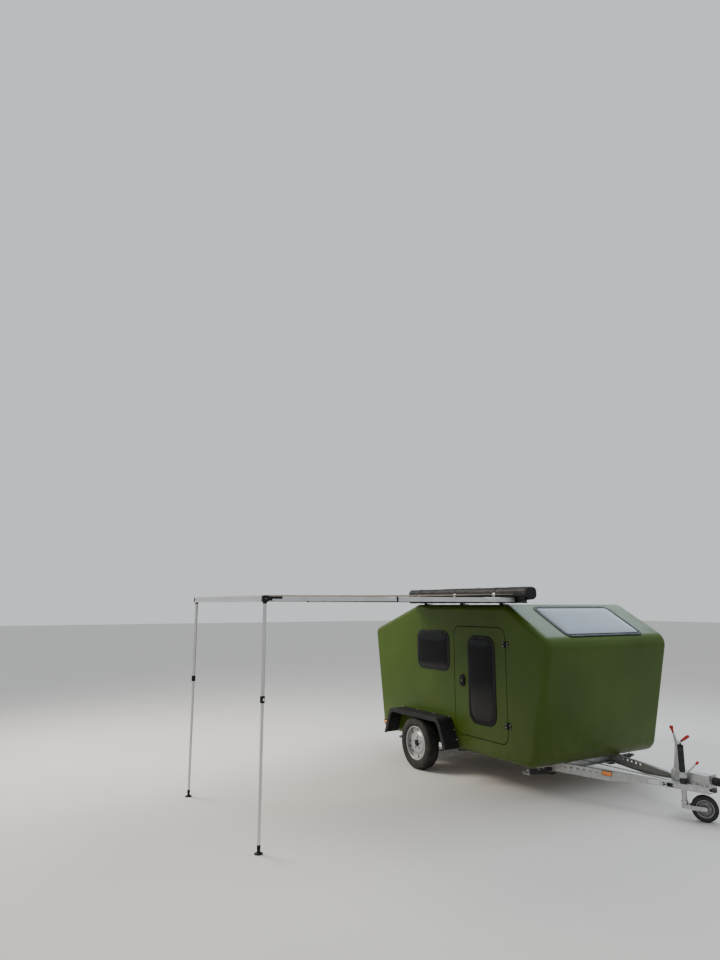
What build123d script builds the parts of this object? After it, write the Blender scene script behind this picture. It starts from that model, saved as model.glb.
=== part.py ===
"""Compact teardrop camping trailer: moulded body, two side doors, rear hatch and side awning.

Millimetres. While modelling, X points forward to the coupling with 0 at the front crease of
the body, Y points left with 0 on the centre line, and Z points up from the floor. At the end
everything is moved so that the origin lies under the middle of the whole parked trailer.
"""
from build123d import *
import math
import os

# Body shell. The outline is its side view: X, Z and corner radius of each crease
BODY_BOTTOM = 284.0
ROOF_Z = 1757.0
BODY_OUTLINE = {
    "front_bottom": (-248.0, BODY_BOTTOM, 140.0),
    "front_crease": (0.0, 1426.0, 130.0),
    "roof_front": (-554.0, ROOF_Z, 150.0),
    "roof_rear": (-2050.0, ROOF_Z, 170.0),
    "rear_crease": (-2953.0, 1463.0, 75.0),
    "rear_bottom": (-2770.0, BODY_BOTTOM, 75.0),
}
BODY_MIDDLE = (-1400.0, 1000.0)
BODY_WIDTH = 1700.0
WALL = 30.0
EDGE_RADIUS = 60.0
SIDE_SEAM = 66.0
SIDE_SEAM_CORNER = 90.0
FLOOR_THICK = 25.0
FLOOR_PLUG = (-2640.0, -400.0, 760.0)

# Side doors and fixed windows: rear X, front X, bottom Z, top Z
DOOR_OPENING = (-1366.0, -570.0, 441.0, 1537.0)
DOOR_CORNER = 90.0
DOOR_GAP = 8.0
DOOR_WINDOW = (-1118.0, -745.0, 600.0, 1425.0)
DOOR_WINDOW_CORNER = 95.0
SIDE_WINDOW = (-2009.0, -1461.0, 1073.0, 1458.0)
SIDE_WINDOW_CORNER = 80.0
LOCK_CENTRE = (-1230.0, 983.0)
LOCK_SIZE = (78.0, 120.0)
LOCK_PROUD = 9.0

# Front window on the sloping face, and the frame lip that every window has
FRONT_WINDOW_DROP = 62.0
FRONT_WINDOW_HEIGHT = 500.0
FRONT_WINDOW_WIDTH = 1056.0
FRONT_WINDOW_CORNER = 55.0
FRAME_LIP = 22.0
FRAME_PROUD = 7.0
PANE_THICK = 8.0

# Rear hatch, as distances down the rear face from its crease, and the lamps below it
HATCH_DROP = 110.0
HATCH_HEIGHT = 860.0
HATCH_WIDTH = 1360.0
HATCH_CORNER = 90.0
LAMP_DROP = 75.0
LAMP_SIZE = (96.0, 240.0)
LAMP_CORNER = 20.0
LAMP_THICK = 34.0
LAMP_INSET = 290.0
BOARD_SIZE = (116.0, 520.0)
BOARD_THICK = 10.0

# External hinges of the doors and the hatch
DOOR_HINGE_Z = (623.0, 1374.0)
HATCH_HINGE_Y = (-430.0, 430.0)
HINGE_OFFSET = 13.0
PIN_RADIUS = 4.0
KNUCKLE_RADIUS = 9.0
KNUCKLE_LENGTH = 26.0
KNUCKLE_END_GAP = 0.5
RUNNING_GAP = 0.1
LEAF_WIDTH = 34.0
LEAF_THICK = 4.0
LEAF_WEB = 6.0

# Chassis: folded channel rails that converge ahead of the body to make the drawbar
RAIL_HEIGHT = 84.0
RAIL_FLANGE = 42.0
RAIL_GAUGE = 4.0
RAIL_INSET = 330.0
RAIL_REAR_X = -2640.0
RAIL_BEND_X = -820.0
DRAWBAR_END_X = 900.0
DRAWBAR_END_Y = 56.0
DRAWBAR_HEIGHT = 46.0
TAPER_X = (80.0, 430.0)
RAIL_HOLE_RADIUS = 11.0
RAIL_HOLE_PITCH = 63.0
RAIL_HOLE_START = 513.0
RAIL_HOLE_COUNT = 6
RAIL_HOLE_RISE = 56.0
CROSS_MEMBER_X = (-2560.0, -420.0, 560.0)
CROSS_MEMBER_WIDTH = 50.0
FLANGE_NOTCH_GAP = 2.0

# Running gear
WHEEL_X = -1885.0
TYRE_RADIUS = 270.0
TYRE_WIDTH = 155.0
TYRE_BODY_GAP = 14.5
RIM_RADIUS = 172.0
RIM_THICK = 7.0
RIM_HALF_WIDTH = 56.0
DISC_THICK = 8.0
DISC_FACE = 24.0
DISC_STEP = 12.0
DISC_STEP_RADII = (118.0, 100.0)
RIM_HOLE_RADIUS = 13.0
RIM_HOLE_COUNT = 8
DRUM_RADIUS = 98.0
DRUM_REACH = 33.0
DRUM_DEPTH = 43.0
SPINDLE_RADIUS = 17.0
SPINDLE_END_GAP = 2.0
AXLE_TUBE = 72.0
AXLE_BRACKET = (90.0, 55.0, 50.0, 6.0)
ARM_LENGTH = 150.0
ARM_THICK = 14.0
ARM_TYRE_GAP = 12.0
ARM_END_RADIUS = 34.0
BRAKE_PLATE_RADIUS = 105.0
BRAKE_PLATE_THICK = 6.0
DRUM_GAP = 5.0

# Share of the wall height above the rim, and share of half the width, from bead to tread
TYRE_SECTION = ((0.0, 0.74), (0.4, 1.0), (0.78, 1.0), (1.0, 0.8))

# Mudguards
GUARD_THICK = 5.0
GUARD_TOP_Z = 592.0
GUARD_LOW_Z = 300.0
GUARD_TOP_HALF = 458.0
GUARD_LOW_HALF = 574.0
GUARD_CORNER = 95.0
GUARD_TYRE_GAP = 16.5
GUARD_LIP = 42.0

# Corner steadies, folded up under the rails
STEADY_X = (-2520.0, -470.0)
STEADY_INSET = 130.0
STEADY_LENGTH = 340.0
STEADY_WIDTH = 46.0
STEADY_HEIGHT = 30.0
STEADY_GAUGE = 3.0
STEADY_TOP = 230.0
STEADY_LEG_WIDTH = 32.0
STEADY_LEG_DROP = 28.0
STEADY_PAD = 70.0
STEADY_PAD_THICK = 5.0
STEADY_PIN_RADIUS = 6.0
STEADY_SPINDLE_RADIUS = 8.0
STEADY_NOSE_RADIUS = 14.0
STEADY_NOSE_LENGTH = 60.0

# Overrun device on the drawbar: base plate, casting, bellows, drawtube
HOUSING_REAR_X = 640.0
HOUSING_FRONT_X = 905.0
HOUSING_HALF_WIDTH = 44.0
HOUSING_HEIGHT = 86.0
HOUSING_CORNER = 12.0
BASE_PLATE_REAR_X = 740.0
BASE_PLATE_THICK = 6.0
HOUSING_FLANGE = (52.0, 8.0)
DRAWTUBE_RISE = 53.0
DRAWTUBE_RADIUS = 22.0
BELLOWS_LENGTH = 118.0
BELLOWS_RADIUS = 34.0
BELLOWS_ROOT = 27.0
BELLOWS_FOLDS = 5

# Coupling head with a socket for a 50 mm ball
COUPLING_LENGTH = 149.0
COUPLING_NECK_HALF = 28.0
COUPLING_RADIUS = 41.0
COUPLING_BELOW = 20.0
COUPLING_ABOVE = 34.0
COUPLING_ROUND = 9.0
BALL_RADIUS = 25.0
BALL_GAP = 0.5
BALL_DROP = 12.0
HANDLE_THICK = 9.0
HANDLE_WIDTH = 28.0
HANDLE_RISE = 30.0

# Handbrake lever in its bracket on the housing: X and Z of pivot, knee and tip
LEVER_PIVOT = (575.0, 352.0)
LEVER_KNEE = (601.0, 574.0)
LEVER_TIP = (574.0, 662.0)
LEVER_HALF_WIDTHS = (21.0, 15.0, 6.0)
LEVER_THICK = 14.0
LEVER_PIN_RADIUS = 9.0
LEVER_PLATE_THICK = 5.0
LEVER_PLATE_GAP = 4.0
KNOB_LENGTH = 62.0
KNOB_RADII = (8.0, 17.0)

# Nose wheel
NOSE_CENTRE = (690.0, -82.0)
NOSE_HEADING = 36.0
NOSE_REACH = 148.0
NOSE_TYRE_RADIUS = 104.0
NOSE_TYRE_WIDTH = 62.0
NOSE_RIM_RADIUS = 66.0
NOSE_RIM_DISC = 14.0
NOSE_TUBE_RADIUS = 24.0
NOSE_TUBE_WALL = 3.0
NOSE_TUBE_TOP = 590.0
NOSE_TUBE_BOTTOM = 236.0
NOSE_TUBE_CAP = 14.0
NOSE_SLIDE_GAP = 0.4
NOSE_SLIDE_HEAD = 60.0
NOSE_STEM_RADIUS = 11.0
NOSE_STEM_LENGTH = 58.0
FORK_HEAD_TOP = 150.0
FORK_HEAD_RADIUS = 26.0
FORK_ARM_RISE = 6.0
FORK_ARM_HALF = 17.0
FORK_THICK = 5.0
FORK_GAP = 6.0
FORK_YOKE_GAP = 10.0
NOSE_AXLE_RADIUS = 6.0
NOSE_AXLE_END = 6.0
CRANK_SPINDLE = (9.0, 24.0)
CRANK_SLANT = (60.0, 9.0, 46.0)
CRANK_LINK_LENGTH = 26.0
CRANK_GRIP_LENGTH = 76.0
CRANK_GRIP_RADIUS = 13.0
CLAMP_RADIUS = 36.0
CLAMP_HEIGHT = 44.0
CLAMP_BAR = (92.0, 20.0, 100.0)
CLAMP_BAR_RADIUS = 6.0
CLAMP_GRIP_RADIUS = 11.0
CLAMP_GRIP_LENGTH = 32.0

# Cabin inside
BULKHEAD_X = -2330.0
BOARD_HALF_THICK = 12.0
SHELF_DEPTH = 398.0
SHELF_Z = 800.0
SHELF_THICK = 22.0
SHELF_INSET = 210.0
MATTRESS_THICK = 130.0
MATTRESS_FRONT_X = -440.0
MATTRESS_INSET = 150.0
MATTRESS_GAP = 10.0

# Awning: bag on the roof edge, arms, lead bar and two legs
CASE_REAR_X = -2163.0
CASE_FRONT_X = -233.0
CASE_OVERHANG = 30.0
CASE_DEPTH = 150.0
CASE_HEIGHT = 130.0
CASE_CORNER = 45.0
BRACKET_X = (-1950.0, -1300.0, -680.0)
BRACKET_WIDTH = 50.0
BRACKET_HEIGHT = 43.0
BRACKET_THICK = 6.0
BRACKET_FOOT = 85.0
BRACKET_SETBACK = 55.0
AWNING_REAR_X = -2116.0
AWNING_FRONT_X = -364.0
AWNING_REACH = 2588.0
AWNING_BAR_SIZE = 50.0
ARM_SECTION = (24.0, 40.0)
ARM_INNER_SECTION = (18.0, 32.0)
ARM_OUTER_LENGTH = 1350.0
ARM_SIDE_GAP = 4.0
ARM_RISE = 2.0
CLOTH_THICK = 3.0
CLOTH_INSET = 40.0
CLOTH_SLOT_DROP = 77.0
LEG_INSET = 22.0
LEG_UPPER_RADIUS = 14.0
LEG_UPPER_WALL = 1.6
LEG_UPPER_BOTTOM = 1050.0
LEG_PLUG = 20.0
LEG_LOWER_RADIUS = 11.6
LEG_LOWER_TOP = 1380.0
LEG_FOOT_RADIUS = 32.0
LEG_FOOT_THICK = 8.0

# Longer than the whole trailer, for cutting blocks, and a small overshoot for clean cuts
FAR = 8000.0
OVERSHOOT = 5.0

# Places that several pieces share
SIDES = (("right", -1), ("left", 1))
HALF_WIDTH = BODY_WIDTH / 2
FLOOR_BOTTOM = BODY_BOTTOM + WALL
FLOOR_TOP = FLOOR_BOTTOM + FLOOR_THICK
RAIL_TOP = BODY_BOTTOM
RAIL_BOTTOM = RAIL_TOP - RAIL_HEIGHT
RAIL_OUTER_Y = HALF_WIDTH - RAIL_INSET
WHEEL_CENTRE_Y = HALF_WIDTH + TYRE_BODY_GAP + TYRE_WIDTH / 2
HOUSING_BOTTOM = RAIL_TOP + BASE_PLATE_THICK
HOUSING_TOP = HOUSING_BOTTOM + HOUSING_HEIGHT
DRAWTUBE_Z = RAIL_TOP + DRAWTUBE_RISE
CASE_OUTER_Y = -(HALF_WIDTH + CASE_OVERHANG)
CASE_INNER_Y = CASE_OUTER_Y + CASE_DEPTH
CASE_BOTTOM = ROOF_Z + BRACKET_HEIGHT
CASE_TOP = CASE_BOTTOM + CASE_HEIGHT
nodes = {}


def block(x0, x1, y0, y1, z0, z1):
    """A box between two corners, given in any order."""
    size = (abs(x1 - x0), abs(y1 - y0), abs(z1 - z0))
    return Pos((x0 + x1) / 2, (y0 + y1) / 2, (z0 + z1) / 2) * Box(*size)


def rod(start, end, radius, end_radius=None):
    """A round bar between two points, tapered if an end radius is given."""
    axis = Vector(*end) - Vector(*start)
    base = Plane(origin=start, z_dir=axis)
    if end_radius is None:
        return extrude(base * Circle(radius), axis.length)
    return loft([base * Circle(radius), base.offset(axis.length) * Circle(end_radius)])


def outline_face(points, radius=0.0):
    """A flat face inside a closed outline, its corners rounded by one radius or a list of them."""
    path = [Vector(*point) for point in points]
    if radius == 0:
        return make_face(Polyline(*path, close=True))
    return make_face(FilletPolyline(*path, radius=radius, close=True))


def prism_x(points, x0, x1, radius=0.0):
    """An outline of (y, z) points made solid between two X places."""
    plane = Plane(origin=(min(x0, x1), 0, 0), x_dir=(0, 1, 0), z_dir=(1, 0, 0))
    return extrude(plane * outline_face(points, radius), abs(x1 - x0))


def prism_y(points, y0, y1, radius=0.0):
    """An outline of (x, z) points made solid between two Y places."""
    plane = Plane(origin=(0, max(y0, y1), 0), x_dir=(1, 0, 0), z_dir=(0, -1, 0))
    return extrude(plane * outline_face(points, radius), abs(y1 - y0))


def prism_z(points, z0, z1):
    """An outline of (x, y) points made solid between two heights."""
    return extrude(Plane.XY.offset(z0) * outline_face(points), z1 - z0)


def upright_plate(opening, y0, y1, corner, margin=0.0):
    """A side-facing plate with rounded corners, larger than the opening by a margin."""
    x0, x1, z0, z1 = opening
    points = (
        (x0 - margin, z0 - margin),
        (x1 + margin, z0 - margin),
        (x1 + margin, z1 + margin),
        (x0 - margin, z1 + margin),
    )
    return prism_y(points, y0, y1, corner + margin)


def ring(points, centre, axis, across):
    """A closed outline of (radius, along) points turned about an axis."""
    plane = Plane(origin=centre, x_dir=across, z_dir=Vector(*across).cross(Vector(*axis)))
    return revolve(plane * outline_face(points), Axis(centre, axis), 360)


def inset(points, distance):
    """A closed convex outline moved inwards by a distance, corner for corner."""
    count = len(points)
    middle = Vector(sum(p[0] for p in points) / count, sum(p[1] for p in points) / count)
    lines = []
    for i in range(count):
        start = Vector(*points[i])
        along = (Vector(*points[(i + 1) % count]) - start).normalized()
        inwards = Vector(-along.Y, along.X)
        if inwards.dot(middle - start) < 0:
            inwards = inwards * -1
        lines.append((start + inwards * distance, along))
    moved = []
    for i in range(count):
        p, d = lines[i - 1]
        q, e = lines[i]
        t = ((q.X - p.X) * e.Y - (q.Y - p.Y) * e.X) / (d.X * e.Y - d.Y * e.X)
        moved.append((p.X + d.X * t, p.Y + d.Y * t))
    return moved


# Shell: the rounded body form, hollow, with an opening in its bottom for the floor's plug
outline_points = [(x, z) for x, z, _ in BODY_OUTLINE.values()]


def body_form(distance, edge_radius):
    """The rounded body, moved inwards by a distance on every face."""
    radii = [max(radius - distance, edge_radius + 1) for _, _, radius in BODY_OUTLINE.values()]
    half = HALF_WIDTH - distance
    form = prism_y(inset(outline_points, distance), -half, half, radii)
    sides = form.faces().sort_by(Axis.Y)
    return fillet(sides[0].edges() + sides[-1].edges(), edge_radius)


inside_half = HALF_WIDTH - WALL
plug_rear_x, plug_front_x, plug_half = FLOOR_PLUG
floor_plug = block(plug_rear_x, plug_front_x, -plug_half, plug_half, BODY_BOTTOM, FLOOR_BOTTOM)
foot_radii = [radius - WALL for _, _, radius in BODY_OUTLINE.values()]
cabin_foot = prism_y(inset(outline_points, WALL), -inside_half, inside_half, foot_radii)
cabin_foot &= block(-FAR, FAR, -FAR, FAR, FLOOR_BOTTOM, FLOOR_BOTTOM + EDGE_RADIUS)
cabin_room = body_form(WALL, EDGE_RADIUS - WALL) + cabin_foot
shell = body_form(0.0, EDGE_RADIUS) - cabin_room - floor_plug

side_seam = [
    (x, BODY_BOTTOM if z < BODY_BOTTOM + 2 * SIDE_SEAM else z)
    for x, z in inset(outline_points, SIDE_SEAM)
]
side_zones = {}
for side, s in SIDES:
    seam_y = s * (inside_half - KNUCKLE_END_GAP)
    side_zones[side] = prism_y(side_seam, seam_y, s * (HALF_WIDTH + OVERSHOOT), SIDE_SEAM_CORNER)


def side_wall(side, s):
    """The flat side wall with its door and window openings."""
    cut = (s * (inside_half - OVERSHOOT), s * (HALF_WIDTH + OVERSHOOT))
    panel = shell & side_zones[side]
    panel -= upright_plate(DOOR_OPENING, *cut, DOOR_CORNER)
    return panel - upright_plate(SIDE_WINDOW, *cut, SIDE_WINDOW_CORNER)


for side, s in SIDES:
    nodes[f"side_wall_{side}"] = side_wall(side, s)

# The wrap between the sides is split at its creases, along lines from the middle of the body
wrap = shell - side_zones["right"] - side_zones["left"]


def far_point(name):
    """A point well outside the body, in the direction of one crease from its middle."""
    x, z, _ = BODY_OUTLINE[name]
    middle_x, middle_z = BODY_MIDDLE
    reach = FAR / math.hypot(x - middle_x, z - middle_z)
    return middle_x + (x - middle_x) * reach, middle_z + (z - middle_z) * reach


front_low = ((BODY_MIDDLE[0], -FAR), (FAR, -FAR))
rear_low = ((-FAR, -FAR), (BODY_MIDDLE[0], -FAR))
SECTORS = (
    ("front_panel", (*front_low, far_point("front_crease"))),
    ("front_slope", (far_point("front_crease"), far_point("roof_front"))),
    ("roof_panel", (far_point("roof_front"), far_point("roof_rear"))),
    ("rear_slope", (far_point("roof_rear"), far_point("rear_crease"))),
    ("rear_frame", (far_point("rear_crease"), *rear_low)),
)
for name, corners in SECTORS:
    nodes[name] = wrap & prism_y((BODY_MIDDLE, *corners), -HALF_WIDTH, HALF_WIDTH)

floor_slab = block(-FAR, FAR, -inside_half, inside_half, FLOOR_BOTTOM, FLOOR_TOP)
nodes["floor_panel"] = (cabin_room & floor_slab) + floor_plug


def face_plane(lower, upper):
    """A frame on the flat between two creases: X down the face from the upper one, Z outwards."""
    x0, z0, _ = BODY_OUTLINE[lower]
    x1, z1, _ = BODY_OUTLINE[upper]
    down = Vector(x0 - x1, 0, z0 - z1).normalized()
    out = Vector(-down.Z, 0, down.X)
    if out.dot(Vector(x1 - BODY_MIDDLE[0], 0, z1 - BODY_MIDDLE[1])) < 0:
        out = out * -1
    return Plane(origin=(x1, 0, z1), x_dir=down, z_dir=out)


def face_plate(plane, drop, height, width, z0, z1, corner, margin=0.0):
    """A rounded plate centred across a face frame, between two heights over the face."""
    size = (height + 2 * margin, width + 2 * margin)
    sketch = Pos(drop + height / 2, 0) * RectangleRounded(*size, corner + margin)
    return extrude(plane.offset(z0) * sketch, z1 - z0)


front_face = face_plane("front_crease", "roof_front")
rear_face = face_plane("rear_bottom", "rear_crease")
front_window = (front_face, FRONT_WINDOW_DROP, FRONT_WINDOW_HEIGHT, FRONT_WINDOW_WIDTH)
hatch_opening = (rear_face, HATCH_DROP, HATCH_HEIGHT, HATCH_WIDTH)
nodes["front_slope"] -= face_plate(*front_window, -WALL - OVERSHOOT, OVERSHOOT, FRONT_WINDOW_CORNER)
nodes["rear_frame"] -= face_plate(*hatch_opening, -WALL - OVERSHOOT, OVERSHOOT, HATCH_CORNER)


# Windows: a pane in its opening, with a frame lip over the edge
def side_pane(opening, s, corner):
    """A glazed unit for an opening in a side."""
    outside = s * (HALF_WIDTH + FRAME_PROUD)
    pane = upright_plate(opening, s * (HALF_WIDTH - PANE_THICK), outside, corner)
    return pane + upright_plate(opening, s * HALF_WIDTH, outside, corner, FRAME_LIP)


nodes["side_windows"] = Part() + [side_pane(SIDE_WINDOW, s, SIDE_WINDOW_CORNER) for _, s in SIDES]
front_pane = face_plate(*front_window, -PANE_THICK, FRAME_PROUD, FRONT_WINDOW_CORNER)
front_lip = face_plate(*front_window, 0, FRAME_PROUD, FRONT_WINDOW_CORNER, FRAME_LIP)
nodes["front_window"] = front_pane + front_lip


# Hinges, doors and hatch
def hinge(plane, order):
    """One hinge on a face: X points across the joint to the moving side, Y lies along the pin.

    The fixed knuckle lies on the low side of Y where order is 1, on the high side where it is -1.
    """

    def half(side, y0, y1):
        knuckle = rod(
            plane.from_local_coords((0, y0, HINGE_OFFSET)),
            plane.from_local_coords((0, y1, HINGE_OFFSET)),
            KNUCKLE_RADIUS,
        )
        inner = side * DOOR_GAP
        web = side * (DOOR_GAP + LEAF_WEB)
        low = HINGE_OFFSET - LEAF_WEB / 2
        high = HINGE_OFFSET + LEAF_WEB / 2
        leaf = block(inner, side * (DOOR_GAP + LEAF_WIDTH), -KNUCKLE_LENGTH, KNUCKLE_LENGTH, 0, LEAF_THICK)
        arm = leaf + block(inner, web, y0, y1, 0, high) + block(0, web, y0, y1, low, high)
        return knuckle + plane * arm

    def pin(radius):
        ends = [plane.from_local_coords((0, y, HINGE_OFFSET)) for y in (-KNUCKLE_LENGTH, KNUCKLE_LENGTH)]
        return rod(*ends, radius)

    gap = KNUCKLE_END_GAP / 2
    fixed = half(-1, -order * KNUCKLE_LENGTH, -order * gap) + pin(PIN_RADIUS)
    moving = half(1, order * gap, order * KNUCKLE_LENGTH) - pin(PIN_RADIUS + RUNNING_GAP)
    return fixed, moving


def door_leaf(s):
    """A flat door as thick as the wall, with its window opening and its oval lock."""
    leaf = upright_plate(DOOR_OPENING, s * inside_half, s * HALF_WIDTH, DOOR_CORNER, -DOOR_GAP)
    cut = (s * (inside_half - OVERSHOOT), s * (HALF_WIDTH + OVERSHOOT))
    leaf -= upright_plate(DOOR_WINDOW, *cut, DOOR_WINDOW_CORNER)
    lock_x, lock_z = LOCK_CENTRE
    lock_plane = Plane(origin=(lock_x, s * HALF_WIDTH, lock_z), x_dir=(1, 0, 0), z_dir=(0, s, 0))
    return leaf + extrude(lock_plane * Ellipse(LOCK_SIZE[0] / 2, LOCK_SIZE[1] / 2), LOCK_PROUD)


door_hinge_x = DOOR_OPENING[1]
fixed_hinges = []
for side, s in SIDES:
    door = door_leaf(s)
    for z in DOOR_HINGE_Z:
        plane = Plane(origin=(door_hinge_x, s * HALF_WIDTH, z), x_dir=(-1, 0, 0), z_dir=(0, s, 0))
        fixed, moving = hinge(plane, s)
        door += moving
        fixed_hinges.append(fixed)
    nodes[f"door_{side}"] = door
    nodes[f"door_window_{side}"] = side_pane(DOOR_WINDOW, s, DOOR_WINDOW_CORNER)

hatch = face_plate(*hatch_opening, -WALL, 0, HATCH_CORNER, -DOOR_GAP)
for y in HATCH_HINGE_Y:
    plane = Plane(
        origin=rear_face.from_local_coords((HATCH_DROP, 0, 0)) + Vector(0, y, 0),
        x_dir=rear_face.x_dir,
        z_dir=rear_face.z_dir,
    )
    fixed, moving = hinge(plane, 1)
    hatch += moving
    fixed_hinges.append(fixed)
nodes["rear_hatch"] = hatch
nodes["body_hinges"] = Part() + fixed_hinges

# Rear lamps and blank number board, below the hatch
lamp_row = HATCH_DROP + HATCH_HEIGHT + LAMP_DROP
lamps = []
for _, s in SIDES:
    lamp_face = rear_face * Pos(lamp_row, s * (HALF_WIDTH - LAMP_INSET))
    lamps.append(extrude(lamp_face * RectangleRounded(*LAMP_SIZE, LAMP_CORNER), LAMP_THICK))
nodes["rear_lamps"] = Part() + lamps
nodes["number_board"] = extrude(rear_face * Pos(lamp_row, 0) * Rectangle(*BOARD_SIZE), BOARD_THICK)

# Chassis rails, from the frame's outline seen from above
rail_slope = (RAIL_OUTER_Y - DRAWBAR_END_Y) / (DRAWBAR_END_X - RAIL_BEND_X)
plan_front_x = DRAWBAR_END_X + RAIL_FLANGE
plan_front_y = DRAWBAR_END_Y - rail_slope * RAIL_FLANGE
plan_rear_x = RAIL_REAR_X - RAIL_FLANGE
frame_plan = [
    (plan_rear_x, RAIL_OUTER_Y),
    (RAIL_BEND_X, RAIL_OUTER_Y),
    (plan_front_x, plan_front_y),
    (plan_front_x, -plan_front_y),
    (RAIL_BEND_X, -RAIL_OUTER_Y),
    (plan_rear_x, -RAIL_OUTER_Y),
]


def frame_space(margin):
    """The room the frame takes up, moved inwards by a margin: its plan and its tapered side view."""
    low = RAIL_BOTTOM + margin
    top = RAIL_TOP - margin
    nose_low = RAIL_TOP - DRAWBAR_HEIGHT + margin
    taper_start, taper_end = TAPER_X
    side_view = (
        (plan_rear_x, low), (taper_start, low), (taper_end, nose_low), (plan_front_x, nose_low),
        (plan_front_x, top), (plan_rear_x, top),
    )
    plan = prism_z(inset(frame_plan, margin) if margin else frame_plan, low, top)
    return plan & prism_y(side_view, -HALF_WIDTH, HALF_WIDTH)


def rail(s):
    """One channel, straight under the floor, then along the drawbar with its row of holes.

    Its flanges are notched where the nose wheel's tube passes down beside it.
    """
    channel = frame_space(0.0) - frame_space(RAIL_GAUGE)
    channel -= prism_z(inset(frame_plan, RAIL_FLANGE), RAIL_BOTTOM, RAIL_TOP)
    channel &= block(RAIL_REAR_X, DRAWBAR_END_X, 0, s * FAR, RAIL_BOTTOM, RAIL_TOP)
    bend = Vector(RAIL_BEND_X, s * RAIL_OUTER_Y, RAIL_BOTTOM + RAIL_HOLE_RISE)
    along = Vector(1, -s * rail_slope, 0).normalized()
    across = Vector(-along.Y, along.X, 0) * 2 * RAIL_GAUGE
    for i in range(RAIL_HOLE_COUNT):
        centre = bend + along * (RAIL_HOLE_START + i * RAIL_HOLE_PITCH)
        channel -= rod(centre - across, centre + across, RAIL_HOLE_RADIUS)
    notch = NOSE_TUBE_RADIUS + FLANGE_NOTCH_GAP
    return channel - rod((*NOSE_CENTRE, RAIL_BOTTOM), (*NOSE_CENTRE, RAIL_TOP), notch)


for side, s in SIDES:
    nodes[f"chassis_rail_{side}"] = rail(s)

between_webs = frame_space(RAIL_GAUGE)
members = []
for x in CROSS_MEMBER_X:
    rear_x = x - CROSS_MEMBER_WIDTH / 2
    front_x = x + CROSS_MEMBER_WIDTH / 2
    member = block(rear_x, front_x, -FAR, FAR, RAIL_BOTTOM, RAIL_TOP) - block(
        rear_x + RAIL_GAUGE, front_x, -FAR, FAR, RAIL_BOTTOM + 2 * RAIL_GAUGE, RAIL_TOP - 2 * RAIL_GAUGE
    )
    members.append(member & between_webs)
nodes["cross_members"] = Part() + members

# Axle tube under the rails, its brackets on the webs, and the trailing arms
axle_x = WHEEL_X + ARM_LENGTH
axle_z = RAIL_BOTTOM - AXLE_TUBE / 2
arm_outer_y = WHEEL_CENTRE_Y - TYRE_WIDTH / 2 - ARM_TYRE_GAP
arm_inner_y = arm_outer_y - ARM_THICK
half_tube = AXLE_TUBE / 2
axle = block(
    axle_x - half_tube, axle_x + half_tube, -arm_inner_y, arm_inner_y, axle_z - half_tube, RAIL_BOTTOM
)
bracket_top_half, bracket_low_half, bracket_rise, bracket_thick = AXLE_BRACKET
bracket_outline = (
    (axle_x - bracket_low_half, axle_z),
    (axle_x + bracket_low_half, axle_z),
    (axle_x + bracket_top_half, RAIL_BOTTOM + bracket_rise),
    (axle_x - bracket_top_half, RAIL_BOTTOM + bracket_rise),
)
for _, s in SIDES:
    axle += prism_y(bracket_outline, s * RAIL_OUTER_Y, s * (RAIL_OUTER_Y + bracket_thick))
nodes["axle_beam"] = axle


def swing_arm(s):
    """A trailing arm from the axle tube to the wheel, with brake plate and spindle."""

    def disc(x, z, y0, y1, radius):
        return rod((x, s * y0, z), (x, s * y1, z), radius)

    plate_y = WHEEL_CENTRE_Y - DRUM_REACH - DRUM_GAP
    spindle_end = WHEEL_CENTRE_Y + DISC_FACE - DISC_THICK - SPINDLE_END_GAP
    rise = Vector(axle_x - WHEEL_X, axle_z - TYRE_RADIUS).normalized()
    side_step = Vector(-rise.Y, rise.X) * ARM_END_RADIUS
    axle_centre = Vector(axle_x, axle_z)
    wheel_centre = Vector(WHEEL_X, TYRE_RADIUS)
    corners = (
        axle_centre + side_step, axle_centre - side_step, wheel_centre - side_step, wheel_centre + side_step
    )
    arm = prism_y([(p.X, p.Y) for p in corners], s * arm_inner_y, s * arm_outer_y)
    arm += disc(axle_x, axle_z, arm_inner_y, arm_outer_y, ARM_END_RADIUS)
    arm += disc(WHEEL_X, TYRE_RADIUS, arm_inner_y, plate_y, ARM_END_RADIUS)
    arm += disc(WHEEL_X, TYRE_RADIUS, plate_y - BRAKE_PLATE_THICK, plate_y, BRAKE_PLATE_RADIUS)
    return arm + disc(WHEEL_X, TYRE_RADIUS, arm_inner_y, spindle_end, SPINDLE_RADIUS)


for side, s in SIDES:
    nodes[f"swing_arm_{side}"] = swing_arm(s)


# Wheels
def tyre(centre, axis, across, radius, width, seat):
    """A tyre from its section table, mirrored about its middle."""
    half = [(seat + rise * (radius - seat), share * width / 2) for rise, share in TYRE_SECTION]
    return ring([*half, *((r, -along) for r, along in reversed(half))], centre, axis, across)


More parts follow.
